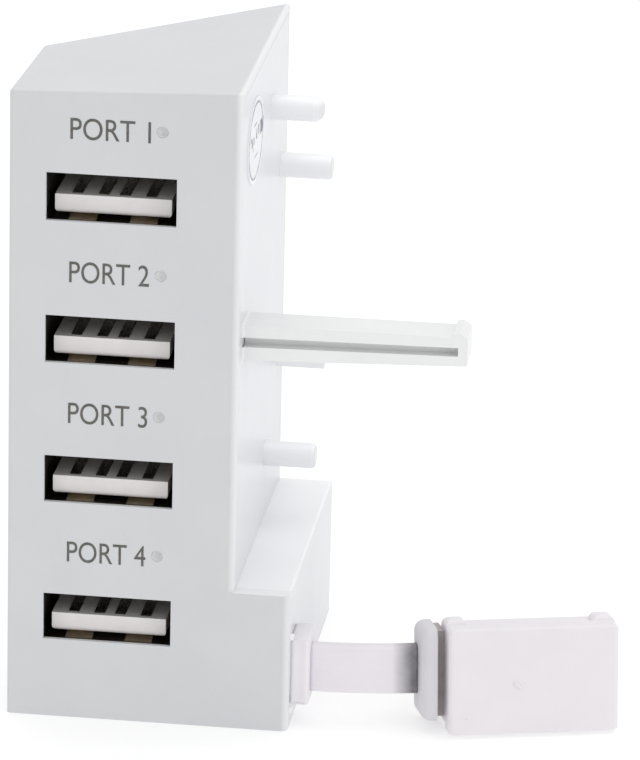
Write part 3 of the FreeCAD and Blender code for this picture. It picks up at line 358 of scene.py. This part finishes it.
arm_white, shader = new_material("arm_white", IOR=1.5, Specular_IOR_Level=0.5)
surface_from(arm_white, shader, moulded, 0.000003, Colour=(0.82, 0.83, 0.825, 1),
             Shade=(0.80, 0.812, 0.805, 1), Cloud_size=220.0, Specks=0.05, Grain_size=5200.0,
             Roughness=0.34, Polish=0.14)
paint(arm_white, "snap_arm")

arm_low, arm_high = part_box("snap_arm")
ROOT_LOW, ROOT_HIGH, ROOT_ROUND = 36.42 * MM, 39.98 * MM, 0.25 * MM
GROOVE_LOW, GROOVE_HIGH = 37.8 * MM, 38.8 * MM
ROUND_STEPS = 6  # for each quarter turn of a rounded corner
ROOT_PROFILE = [  # how far from the cover, and how far out of the arm's own surface, in mm
    (0.0, -0.15), (0.0, 0.24), (0.05, 0.15), (0.11, 0.08), (0.2, 0.025), (0.34, 0.004), (0.34, -0.15)]


def root_path():
    """Points (y, z) round the arm's root from groove to groove, with their outward directions."""
    path = [(arm_low[1], GROOVE_HIGH, -1.0, 0.0)]
    for y_side, z_side, start in ((0, 1, 180), (1, 1, 90), (1, 0, 0), (0, 0, 270)):
        middle = (arm_high[1] - ROOT_ROUND if y_side else arm_low[1] + ROOT_ROUND,
                  ROOT_HIGH - ROOT_ROUND if z_side else ROOT_LOW + ROOT_ROUND)
        for step in range(ROUND_STEPS + 1):
            turn = math.radians(start - 90 / ROUND_STEPS * step)
            out = (math.cos(turn), math.sin(turn))
            path.append((middle[0] + ROOT_ROUND * out[0], middle[1] + ROOT_ROUND * out[1], *out))
    path.append((arm_low[1], GROOVE_LOW, -1.0, 0.0))
    return path


path = root_path()
rim = len(ROOT_PROFILE)
corners = [(wall_x + along * MM, y + out_y * proud * MM, z + out_z * proud * MM)
           for y, z, out_y, out_z in path for along, proud in ROOT_PROFILE]
faces = [(n * rim + k, n * rim + (k + 1) % rim, (n + 1) * rim + (k + 1) % rim, (n + 1) * rim + k)
         for n in range(len(path) - 1) for k in range(rim)]
faces += [tuple(reversed(range(rim))), tuple((len(path) - 1) * rim + k for k in range(rim))]
arm_root = plain_mesh("arm_root_fillet", corners, faces, arm_white)
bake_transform(arm_root)


# ---------------------------------------------------------------------------------------
# Sockets. Each is a folded shell of dull tin plate, a white insulator with a tongue and
# four plated contacts on the tongue, with two brighter springs bowed up from its floor.

# Plated metal: a bright and a tarnished tone in streaks, with a drawn grain.
plated, ins, outs = new_group(
    "plated_metal",
    [("Colour", "Color", (0.6, 0.6, 0.6, 1)), ("Tarnish", "Color", (0.3, 0.28, 0.24, 1)),
     ("Streaks", "Float", 900.0), ("Roughness", "Float", 0.3)],
    [("Colour", "Color"), ("Roughness", "Float"), ("Height", "Float")])
where = add_node(plated, "ShaderNodeTexCoord").outputs["Object"]
drawn = add_node(plated, "ShaderNodeMapping", Vector=where, Scale=(1.0, 0.12, 1.0)).outputs["Vector"]
streak = add_node(plated, "ShaderNodeTexNoise", Vector=drawn, Scale=ins.outputs["Streaks"], Detail=5.0,
                  Roughness=0.65).outputs["Fac"]
stain = add_node(plated, "ShaderNodeTexNoise", Vector=where, Scale=260.0, Detail=3.0).outputs["Fac"]
worn = blend_colours(plated, step_between(plated, stain, 0.42, 0.7), ins.outputs["Colour"],
                     ins.outputs["Tarnish"])
plated.links.new(worn, outs.inputs["Colour"])
rubbed = maths(plated, "MULTIPLY", maths(plated, "SUBTRACT", streak, 0.5), 0.25)
plated.links.new(maths(plated, "ADD", ins.outputs["Roughness"], rubbed), outs.inputs["Roughness"])
plated.links.new(streak, outs.inputs["Height"])

tin_plate, shader = new_material("tin_plate", Metallic=1.0)
surface_from(tin_plate, shader, plated, 0.000003, Colour=(0.2, 0.18, 0.155, 1),
             Tarnish=(0.09, 0.075, 0.055, 1), Streaks=1200.0, Roughness=0.34)
tongue_white, shader = new_material("tongue_white", IOR=1.5, Specular_IOR_Level=0.4)
surface_from(tongue_white, shader, moulded, 0.000003, Colour=(0.80, 0.775, 0.765, 1),
             Shade=(0.76, 0.735, 0.725, 1), Cloud_size=500.0, Specks=0.15, Grain_size=6500.0,
             Roughness=0.45, Polish=0.15)
# Painted shade: both tones of the contacts are painted nearly black for the shadow in the tongue's
# slots.
contact_plate, shader = new_material("contact_plate", Metallic=1.0)
surface_from(contact_plate, shader, plated, 0.000002, Colour=(0.2, 0.17, 0.14, 1),
             Tarnish=(0.07, 0.055, 0.045, 1), Streaks=2600.0, Roughness=0.28)
for port in PORTS:
    paint(tin_plate, f"socket_shell_{port}")
    paint(tongue_white, f"socket_insulator_{port}")
    paint(contact_plate, f"socket_contacts_{port}")

spring_plate, shader = new_material("spring_plate", Metallic=1.0)
surface_from(spring_plate, shader, plated, 0.000003, Colour=(0.52, 0.44, 0.34, 1),
             Tarnish=(0.33, 0.27, 0.18, 1), Streaks=900.0, Roughness=0.5)
SHELL_HALF = 6.55 * MM
SPRING_WIDE, SPRING_THICK, SPRING_OFF, SHELL_WALL = 2.6, 0.12, 2.9, 0.31  # in mm
SPRING_SECTION = ((-1, 0), (1, 0), (1, SPRING_THICK), (-1, SPRING_THICK))
SPRING_LINE = [  # how far behind the front face, and above the shell's floor, in mm
    (1.15, 0.02), (1.6, 0.06), (2.2, 0.2), (2.9, 0.36), (3.5, 0.42), (4.1, 0.38), (4.8, 0.24),
    (5.4, 0.08)]
for port in PORTS:
    shell_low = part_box(f"socket_shell_{port}")[0]
    socket_middle = shell_low[0] + SHELL_HALF
    for hand, across in (("left", -SPRING_OFF), ("right", SPRING_OFF)):
        corners = [(socket_middle + (across + side * SPRING_WIDE / 2) * MM, front_y + back * MM,
                    shell_low[2] + (SHELL_WALL + up + lift) * MM)
                   for back, up in SPRING_LINE for side, lift in SPRING_SECTION]
        faces = [(n * 4 + k, n * 4 + (k + 1) % 4, n * 4 + 4 + (k + 1) % 4, n * 4 + 4 + k)
                 for n in range(len(SPRING_LINE) - 1) for k in range(4)]
        last = 4 * len(SPRING_LINE)
        faces += [(3, 2, 1, 0), (last - 4, last - 3, last - 2, last - 1)]
        spring = plain_mesh(f"floor_spring_{hand}_{port}", corners, faces, spring_plate)
        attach(spring, "hub")


# ---------------------------------------------------------------------------------------
# Indicators. A milky acrylic pin in a hole beside each label, its end dished in, and a
# small lamp behind it on the board.

lens_milky, shader = new_material("lens_milky", IOR=1.49)
surface_from(lens_milky, shader, moulded, 0.000002, Colour=(0.66, 0.67, 0.68, 1),
             Shade=(0.60, 0.61, 0.62, 1), Cloud_size=1500.0, Specks=0.0, Grain_size=9000.0,
             Roughness=0.16, Polish=0.1)
lamp_milky, shader = new_material("lamp_milky", IOR=1.49)
surface_from(lamp_milky, shader, moulded, 0.000002, Colour=(0.72, 0.74, 0.66, 1),
             Shade=(0.62, 0.65, 0.55, 1), Cloud_size=900.0, Specks=0.0, Grain_size=9000.0,
             Roughness=0.25, Polish=0.1)
LENS_SIDES, WELD = 40, 0.001 * MM
LENS_PROFILE = [  # radius and depth behind the front, from the dish's middle to the pin's head, in mm
    (0.0, 0.36), (0.16, 0.33), (0.3, 0.245), (0.4, 0.14), (0.47, 0.06), (0.51, 0.02), (0.53, 0.03),
    (0.53, 1.62), (0.9, 1.62), (0.9, 2.22), (0.0, 2.22)]
for port in PORTS:
    low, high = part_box(f"indicator_lens_{port}")
    middle = ((low[0] + high[0]) / 2, (low[2] + high[2]) / 2)
    corners = [(middle[0] + radius * MM * math.cos(math.tau * n / LENS_SIDES), front_y + depth * MM,
                middle[1] + radius * MM * math.sin(math.tau * n / LENS_SIDES))
               for radius, depth in LENS_PROFILE for n in range(LENS_SIDES)]
    faces = [(ring * LENS_SIDES + n, (ring + 1) * LENS_SIDES + n,
              (ring + 1) * LENS_SIDES + (n + 1) % LENS_SIDES, ring * LENS_SIDES + (n + 1) % LENS_SIDES)
             for ring in range(len(LENS_PROFILE) - 1) for n in range(LENS_SIDES)]
    dish = plain_mesh(f"indicator_dish_{port}", corners, faces, lens_milky)
    shell = bmesh.new()
    shell.from_mesh(dish.data)
    bmesh.ops.remove_doubles(shell, verts=shell.verts, dist=WELD)
    bmesh.ops.recalc_face_normals(shell, faces=shell.faces)
    shell.to_mesh(dish.data)
    shell.free()
    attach(dish, "hub")
    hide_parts(f"indicator_lens_{port}")
    paint(lamp_milky, f"indicator_lamp_{port}")


# ---------------------------------------------------------------------------------------
# Circuit board. Glass-filled laminate under green lacquer, and the parts soldered to it:
# the black chip and resistors, bright cans, tan ceramic capacitors and a green fuse.

board_green, shader = new_material("board_green", IOR=1.5, Specular_IOR_Level=0.5)
surface_from(board_green, shader, moulded, 0.000004, Colour=(0.03, 0.16, 0.07, 1),
             Shade=(0.02, 0.11, 0.05, 1), Cloud_size=300.0, Specks=0.3, Grain_size=3000.0,
             Roughness=0.35, Polish=0.15)
paint(board_green, "circuit_board")

package_black, shader = new_material("package_black")
surface_from(package_black, shader, moulded, 0.000006, Colour=(0.02, 0.02, 0.021, 1),
             Shade=(0.03, 0.03, 0.031, 1), Cloud_size=700.0, Specks=0.1, Grain_size=7000.0,
             Roughness=0.6, Polish=0.1)
paint(package_black, "hub_chip", "resistors")

can_bright, shader = new_material("can_bright", Metallic=1.0)
surface_from(can_bright, shader, plated, 0.000002, Colour=(0.72, 0.72, 0.71, 1),
             Tarnish=(0.5, 0.5, 0.49, 1), Streaks=1500.0, Roughness=0.28)
paint(can_bright, "crystal", "reservoir_capacitors", "board_screws")

fired_tan, shader = new_material("fired_tan")
surface_from(fired_tan, shader, moulded, 0.000003, Colour=(0.42, 0.28, 0.15, 1),
             Shade=(0.34, 0.22, 0.12, 1), Cloud_size=900.0, Specks=0.1, Grain_size=6000.0,
             Roughness=0.45, Polish=0.1)
paint(fired_tan, "ceramic_capacitors")

fuse_lacquer, shader = new_material("fuse_lacquer")
surface_from(fuse_lacquer, shader, moulded, 0.000003, Colour=(0.06, 0.2, 0.06, 1),
             Shade=(0.04, 0.15, 0.05, 1), Cloud_size=700.0, Specks=0.1, Grain_size=6000.0,
             Roughness=0.4, Polish=0.1)
paint(fuse_lacquer, "fuse")


# ---------------------------------------------------------------------------------------
# Gland and lead. Soft white vinyl. The gland has a shallow hollow down its front and two
# small hard lugs at its ends. The lead is a flat strip that bends and twists to the plug,
# with painted shadow on its end where it goes into the collar.

VINYL_WHITE, VINYL_SHADE = (0.80, 0.768, 0.812, 1), (0.78, 0.748, 0.792, 1)

vinyl_white, shader = new_material("vinyl_white", IOR=1.5, Specular_IOR_Level=0.35)
surface_from(vinyl_white, shader, moulded, 0.000005, Colour=VINYL_WHITE, Shade=VINYL_SHADE,
             Cloud_size=240.0, Specks=0.2, Grain_size=3600.0, Roughness=0.5, Polish=0.12)
paint(vinyl_white, "lead_cores")

gland_white, shader = new_material("gland_white", IOR=1.5, Specular_IOR_Level=0.35)
surface_from(gland_white, shader, moulded, 0.000005, Colour=(0.83, 0.80, 0.835, 1),
             Shade=(0.80, 0.77, 0.81, 1), Cloud_size=240.0, Specks=0.1, Grain_size=3600.0,
             Roughness=0.5, Polish=0.12)


def soft_block(name, low, high, rounding, material):
    """A block between two corners with its edges rounded off."""
    block = bmesh.new()
    bmesh.ops.create_cube(block, size=1.0)
    for corner in block.verts:
        corner.co = [l + (c + 0.5) * (h - l) for l, h, c in zip(low, high, corner.co)]
    bmesh.ops.bevel(block, geom=block.edges[:], offset=rounding, segments=4, profile=0.5,
                    affect="EDGES")
    mesh = bpy.data.meshes.new(name)
    block.to_mesh(mesh)
    block.free()
    mesh.materials.append(material)
    for face in mesh.polygons:
        face.use_smooth = True
    made = bpy.data.objects.new(name, mesh)
    bpy.context.scene.collection.objects.link(made)
    return made


def hollowed(piece, facing, middle, half, depth):
    """Cuts a block's front finely across, then presses a shallow round hollow down it."""
    near = 0.02 * MM
    mesh = bmesh.new()
    mesh.from_mesh(piece.data)
    front = [e for e in mesh.edges if all(abs(v.co.y - facing) < near for v in e.verts)
             and abs(e.verts[0].co.x - e.verts[1].co.x) > half]
    bmesh.ops.subdivide_edges(mesh, edges=front, cuts=14, use_grid_fill=True)
    for corner in mesh.verts:
        off = (corner.co.x - middle) / half
        if abs(corner.co.y - facing) < near and abs(off) < 1:
            corner.co.y += depth * math.cos(off * math.pi / 2) ** 2
    mesh.to_mesh(piece.data)
    mesh.free()


GLAND_DEEP, GLAND_TOP, GLAND_ROUND = 4.1 * MM, 9.2 * MM, 0.28 * MM
HOLLOW_IN, HOLLOW_HALF, HOLLOW_DEEP = 0.85 * MM, 0.6 * MM, 0.14 * MM
WALL_FRONT = 1.62 * MM  # from the housing's front face to the slot that the gland sits in
LUG_TALL, LUG_LEVELS = 0.62, (("low", 1.5), ("high", 9.0))  # in mm

foot_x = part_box("front_housing")[1][0]
gland_low, gland_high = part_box("cable_gland")
gland = soft_block("gland_block", (foot_x, gland_low[1], gland_low[2]),
                   (gland_high[0], gland_low[1] + GLAND_DEEP, GLAND_TOP), GLAND_ROUND, gland_white)
hollowed(gland, gland_low[1], foot_x + HOLLOW_IN, HOLLOW_HALF, HOLLOW_DEEP)
waist = soft_block("gland_waist", (foot_x - 1.7 * MM, front_y + WALL_FRONT, 3.17 * MM),
                   (foot_x + 0.3 * MM, front_y + 5.13 * MM, 9.03 * MM), 0.1 * MM, vinyl_white)
flange = soft_block("gland_flange", (gland_low[0], front_y + WALL_FRONT, 2.2 * MM),
                    (foot_x - 1.63 * MM, front_y + 6.15 * MM, 9.7 * MM), 0.25 * MM, vinyl_white)
lugs = [soft_block(f"gland_lug_{name}", (foot_x - 0.25 * MM, front_y + 0.9 * MM, level * MM),
                   (foot_x + 0.42 * MM, front_y + WALL_FRONT, (level + LUG_TALL) * MM), 0.27 * MM,
                   cover_white)
        for name, level in LUG_LEVELS]
for piece in (gland, waist, flange, *lugs):
    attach(piece, "hub")
    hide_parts("cable_gland")

lead_joint = [j for j in frame["record"]["behaviour"]["joints"] if j["name"] == "plug_swing"][0]
LEAD_RADIUS, LEAD_YAW, PLUG_TIP_DOWN = 37.7 * MM, math.radians(15.5), math.radians(8.5)
LEAD_TALL, LEAD_THICK, LEAD_ROUND = 4.8 * MM, 1.8 * MM, 0.55 * MM
VALLEYS, VALLEY_DEEP, FLAT_STEPS, LEAD_STEPS = 3, 0.05 * MM, 20, 36
lead_start = Vector((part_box("flat_lead")[0][0], 0.0, lead_joint["pos_m"][2]))
lead_start.y = lead_joint["pos_m"][1] - LEAD_RADIUS * (1 - math.cos(LEAD_YAW / 2))


def lead_section():
    """Points round the strip's rounded section, with shallow valleys between its cores."""
    points = []
    flat_half = LEAD_TALL / 2 - LEAD_ROUND
    for side, level, turn in ((1, 1, 0), (-1, 1, 90), (-1, -1, 180), (1, -1, 270)):
        centre = (side * (LEAD_THICK / 2 - LEAD_ROUND), level * flat_half)
        for step in range(ROUND_STEPS + 1):
            angle = math.radians(turn + 90 / ROUND_STEPS * step)
            points.append((centre[0] + LEAD_ROUND * math.cos(angle),
                           centre[1] + LEAD_ROUND * math.sin(angle)))
        if turn in (90, 270):
            for step in range(1, FLAT_STEPS):
                along = step / FLAT_STEPS
                dip = VALLEY_DEEP * math.sin(math.pi * VALLEYS * along) ** 2
                points.append((side * (LEAD_THICK / 2 - dip), level * flat_half * (1 - 2 * along)))
    return points


section = lead_section()
corners, faces = [], []
for step in range(LEAD_STEPS + 1):
    turn = LEAD_YAW * step / LEAD_STEPS
    centre = lead_start + Vector((LEAD_RADIUS * math.sin(turn), LEAD_RADIUS * (1 - math.cos(turn)), 0))
    twist = Matrix.Rotation(-PLUG_TIP_DOWN * step / LEAD_STEPS, 3, "X")
    turned = Matrix.Rotation(turn, 3, "Z") @ twist
    corners += [centre + turned @ Vector((0, a, b)) for a, b in section]
count = len(section)
for step in range(LEAD_STEPS):
    for n in range(count):
        m = (n + 1) % count
        faces.append((step * count + n, step * count + m,
                      (step + 1) * count + m, (step + 1) * count + n))
faces += [tuple(reversed(range(count))), tuple(LEAD_STEPS * count + n for n in range(count))]

# Painted shade: a darker tone between two places along a piece, patchy, where shadow falls in a crevice.
painted_shade_group, ins, outs = new_group(
    "crevice_soil",
    [("Colour", "Color", VINYL_WHITE), ("Soil", "Color", (0.12, 0.11, 0.115, 1)),
     ("Place", "Float", 0.0), ("Rise from", "Float", 0.0), ("Rise to", "Float", 1.0),
     ("Fall from", "Float", 2.0), ("Fall to", "Float", 3.0), ("Amount", "Float", 0.8)],
    [("Colour", "Color")])
placed = ins.outputs["Place"]
band = maths(painted_shade_group, "MULTIPLY",
             step_between(painted_shade_group, placed, ins.outputs["Rise from"], ins.outputs["Rise to"]),
             step_between(painted_shade_group, placed, ins.outputs["Fall from"], ins.outputs["Fall to"], 1.0, 0.0))
patchy = add_node(painted_shade_group, "ShaderNodeTexNoise", Scale=700.0, Detail=3.0,
                  Vector=add_node(painted_shade_group, "ShaderNodeTexCoord").outputs["Object"]).outputs["Fac"]
band = maths(painted_shade_group, "MULTIPLY", band, step_between(painted_shade_group, patchy, 0.3, 0.7, 0.8, 1.0))
band = maths(painted_shade_group, "MULTIPLY", band, ins.outputs["Amount"])
painted_shade_group.links.new(blend_colours(painted_shade_group, band, ins.outputs["Colour"], ins.outputs["Soil"]),
               outs.inputs["Colour"])


def painted_shade_into(material, shader, place, **values):
    """Puts the painted crevice shade group between a material's colour and its shader."""
    tree = material.node_tree
    made = tree.nodes.new("ShaderNodeGroup")
    made.node_tree = painted_shade_group
    tree.links.new(shader.inputs["Base Color"].links[0].from_socket, made.inputs["Colour"])
    tree.links.new(place, made.inputs["Place"])
    for socket, value in values.items():
        made.inputs[socket.replace("_", " ")].default_value = value
    tree.links.new(made.outputs["Colour"], shader.inputs["Base Color"])


lead_white, shader = new_material("lead_white", IOR=1.5, Specular_IOR_Level=0.35)
surface_from(lead_white, shader, moulded, 0.000004, Colour=VINYL_WHITE, Shade=VINYL_SHADE,
             Cloud_size=240.0, Specks=0.1, Grain_size=3600.0, Roughness=0.45, Polish=0.12)
tree = lead_white.node_tree
along_lead = add_node(tree, "ShaderNodeSeparateXYZ",
                      Vector=add_node(tree, "ShaderNodeUVMap").outputs["UV"])
# Painted shadow: the collar's shadow darkens the last part of the lead.
painted_shade_into(lead_white, shader, along_lead.outputs["X"], Rise_from=0.76, Rise_to=0.95,
       Soil=(0.10, 0.09, 0.105, 1), Amount=0.92)
lead = plain_mesh("lead_strip", corners, faces, lead_white, smooth=True)
length_map = lead.data.uv_layers.new(name="along")
for loop in lead.data.loops:
    step, around = divmod(loop.vertex_index, count)
    length_map.data[loop.index].uv = (step / LEAD_STEPS, around / count)
lead_end = lead_start + LEAD_RADIUS * Vector((math.sin(LEAD_YAW), 1 - math.cos(LEAD_YAW), 0))
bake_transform(lead)
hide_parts("flat_lead")


# ---------------------------------------------------------------------------------------
# Plug. A vinyl grip with its strain relief collar, round a nickel-plated shell that holds
# a white insulator and four contacts.

grip_white, shader = new_material("grip_white", IOR=1.5, Specular_IOR_Level=0.4)
surface_from(grip_white, shader, moulded, 0.000005, Colour=(0.805, 0.772, 0.805, 1),
             Shade=(0.785, 0.752, 0.785, 1), Cloud_size=200.0, Specks=0.25, Grain_size=3200.0,
             Roughness=0.45, Polish=0.14)
paint(grip_white, "plug_grip")
# The collar is the grip's own vinyl; its darker colour is painted shade.
collar_white, shader = new_material("collar_white", IOR=1.5, Specular_IOR_Level=0.35)
surface_from(collar_white, shader, moulded, 0.000005, Colour=(0.67, 0.655, 0.68, 1),
             Shade=(0.65, 0.635, 0.66, 1), Cloud_size=240.0, Specks=0.2, Grain_size=3400.0,
             Roughness=0.5, Polish=0.12)
tree = collar_white.node_tree
from_lead = add_node(tree, "ShaderNodeVectorMath", {"operation": "SUBTRACT"},
                     i0=add_node(tree, "ShaderNodeTexCoord").outputs["Object"], i1=lead_end)
along_plug = add_node(tree, "ShaderNodeVectorMath", {"operation": "DOT_PRODUCT"},
                      i0=from_lead.outputs["Vector"],
                      i1=(math.cos(LEAD_YAW) / MM, math.sin(LEAD_YAW) / MM, 0.0))
# Painted shade in the groove between the collar and the grip.
painted_shade_into(collar_white, shader, along_plug.outputs["Value"], Rise_from=1.5, Rise_to=1.95, Fall_from=2.6,
       Fall_to=3.0, Soil=(0.22, 0.17, 0.155, 1), Amount=0.7)
paint(collar_white, "plug_collar")

plug_frame = (Matrix.Translation(lead_end) @ Matrix.Rotation(LEAD_YAW, 4, "Z")
              @ Matrix.Rotation(-PLUG_TIP_DOWN, 4, "X"))
GATE_PLACE = (9.15 * MM, -4.3 * MM, -1.05 * MM)  # from the lead's end, on the grip's front face
GATE_HALVES, GATE_SLANT = (0.55 * MM, 0.24 * MM, 0.2 * MM), math.radians(42)
gate = bmesh.new()
bmesh.ops.create_uvsphere(gate, u_segments=24, v_segments=12, radius=1.0)
slant = Matrix.Rotation(GATE_SLANT, 4, "Y")
shape = Matrix.Diagonal((*GATE_HALVES, 1.0))
gate.transform(plug_frame @ Matrix.Translation(GATE_PLACE) @ slant @ shape)
mesh = bpy.data.meshes.new("gate_mark")
gate.to_mesh(mesh)
gate.free()
mesh.materials.append(grip_white)
for face in mesh.polygons:
    face.use_smooth = True
gate_mark = bpy.data.objects.new("gate_mark", mesh)
bpy.context.scene.collection.objects.link(gate_mark)
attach(gate_mark, "plug")

nickel, shader = new_material("nickel", Metallic=1.0)
surface_from(nickel, shader, plated, 0.000002, Colour=(0.66, 0.655, 0.64, 1),
             Tarnish=(0.5, 0.49, 0.47, 1), Streaks=1400.0, Roughness=0.24)
paint(nickel, "plug_shell")
paint(tongue_white, "plug_insulator")
paint(contact_plate, "plug_contacts")


# ---------------------------------------------------------------------------------------
# Inspection label. A small oval of coated paper stuck on the side cover, printed with a
# ring and a few short bars, and stamped over its edge in blue-black.

label_paper, shader = new_material("label_paper", Specular_IOR_Level=0.4)
surface_from(label_paper, shader, moulded, 0.000003, Colour=(0.84, 0.85, 0.87, 1),
             Shade=(0.81, 0.82, 0.85, 1), Cloud_size=800.0, Specks=0.0, Grain_size=5000.0,
             Roughness=0.4, Polish=0.1)
paint(label_paper, "inspection_label")

label_low, label_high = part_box("inspection_label")
label_middle = [(l + h) / 2 for l, h in zip(label_low, label_high)]
half_deep, half_tall = (label_high[1] - label_low[1]) / 2, (label_high[2] - label_low[2]) / 2
PRINT_PROUD, STAMP_OVER = 0.012 * MM, 0.004 * MM
WORN_INK = (0.62, 0.62, 0.66, 1)


def stamped(name, colour, outlines, lift=0.0):
    """Ink outlines on the label, each with points across and up from its middle, in mm."""
    ink, shader = new_material(name, Specular_IOR_Level=0.3)
    surface_from(ink, shader, moulded, 0.000001, Colour=colour, Shade=WORN_INK, Cloud_size=1100.0,
                 Specks=0.0, Grain_size=9000.0, Roughness=0.5, Polish=0.1)
    print_x = label_high[0] + PRINT_PROUD + lift
    corners, faces = [], []
    for outline in outlines:
        faces.append(tuple(range(len(corners), len(corners) + len(outline))))
        corners += [(print_x, label_middle[1] + a * MM, label_middle[2] + b * MM)
                    for a, b in outline]
    made = plain_mesh(name, corners, faces, ink)
    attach(made, "hub")


RING_IN, RING_OUT, RING_SIDES = 0.845, 0.9, 120


def oval_point(n, scale):
    """A point on the label's oval, drawn in by a scale."""
    turn = math.tau * n / RING_SIDES
    return half_deep / MM * scale * math.cos(turn), half_tall / MM * scale * math.sin(turn)


def bar(across, up, wide, tall):
    """The outline of a bar about a point on the label."""
    return [(across - wide / 2, up - tall / 2), (across + wide / 2, up - tall / 2),
            (across + wide / 2, up + tall / 2), (across - wide / 2, up + tall / 2)]


stamped("label_ring", (0.24, 0.23, 0.28, 1), [
    [oval_point(n, RING_IN), oval_point(n, RING_OUT), oval_point(n + 1, RING_OUT),
     oval_point(n + 1, RING_IN)]
    for n in range(RING_SIDES)])
stamped("label_bars", (0.22, 0.21, 0.24, 1), [
    bar(-2.65, 0.4, 0.6, 0.95), bar(-1.4, 0.3, 0.55, 0.75), bar(0.45, 0.55, 0.6, 1.0),
    bar(1.75, 0.65, 0.7, 0.95), bar(-1.7, -0.5, 1.2, 0.14), bar(-0.4, 1.7, 1.9, 0.16),
    bar(0.2, -1.5, 2.0, 0.14), bar(-3.3, 0.9, 0.5, 0.45)])
stamped("label_stamp", (0.04, 0.05, 0.15, 1), [bar(3.95, 0.45, 2.1, 1.35)], lift=STAMP_OVER)
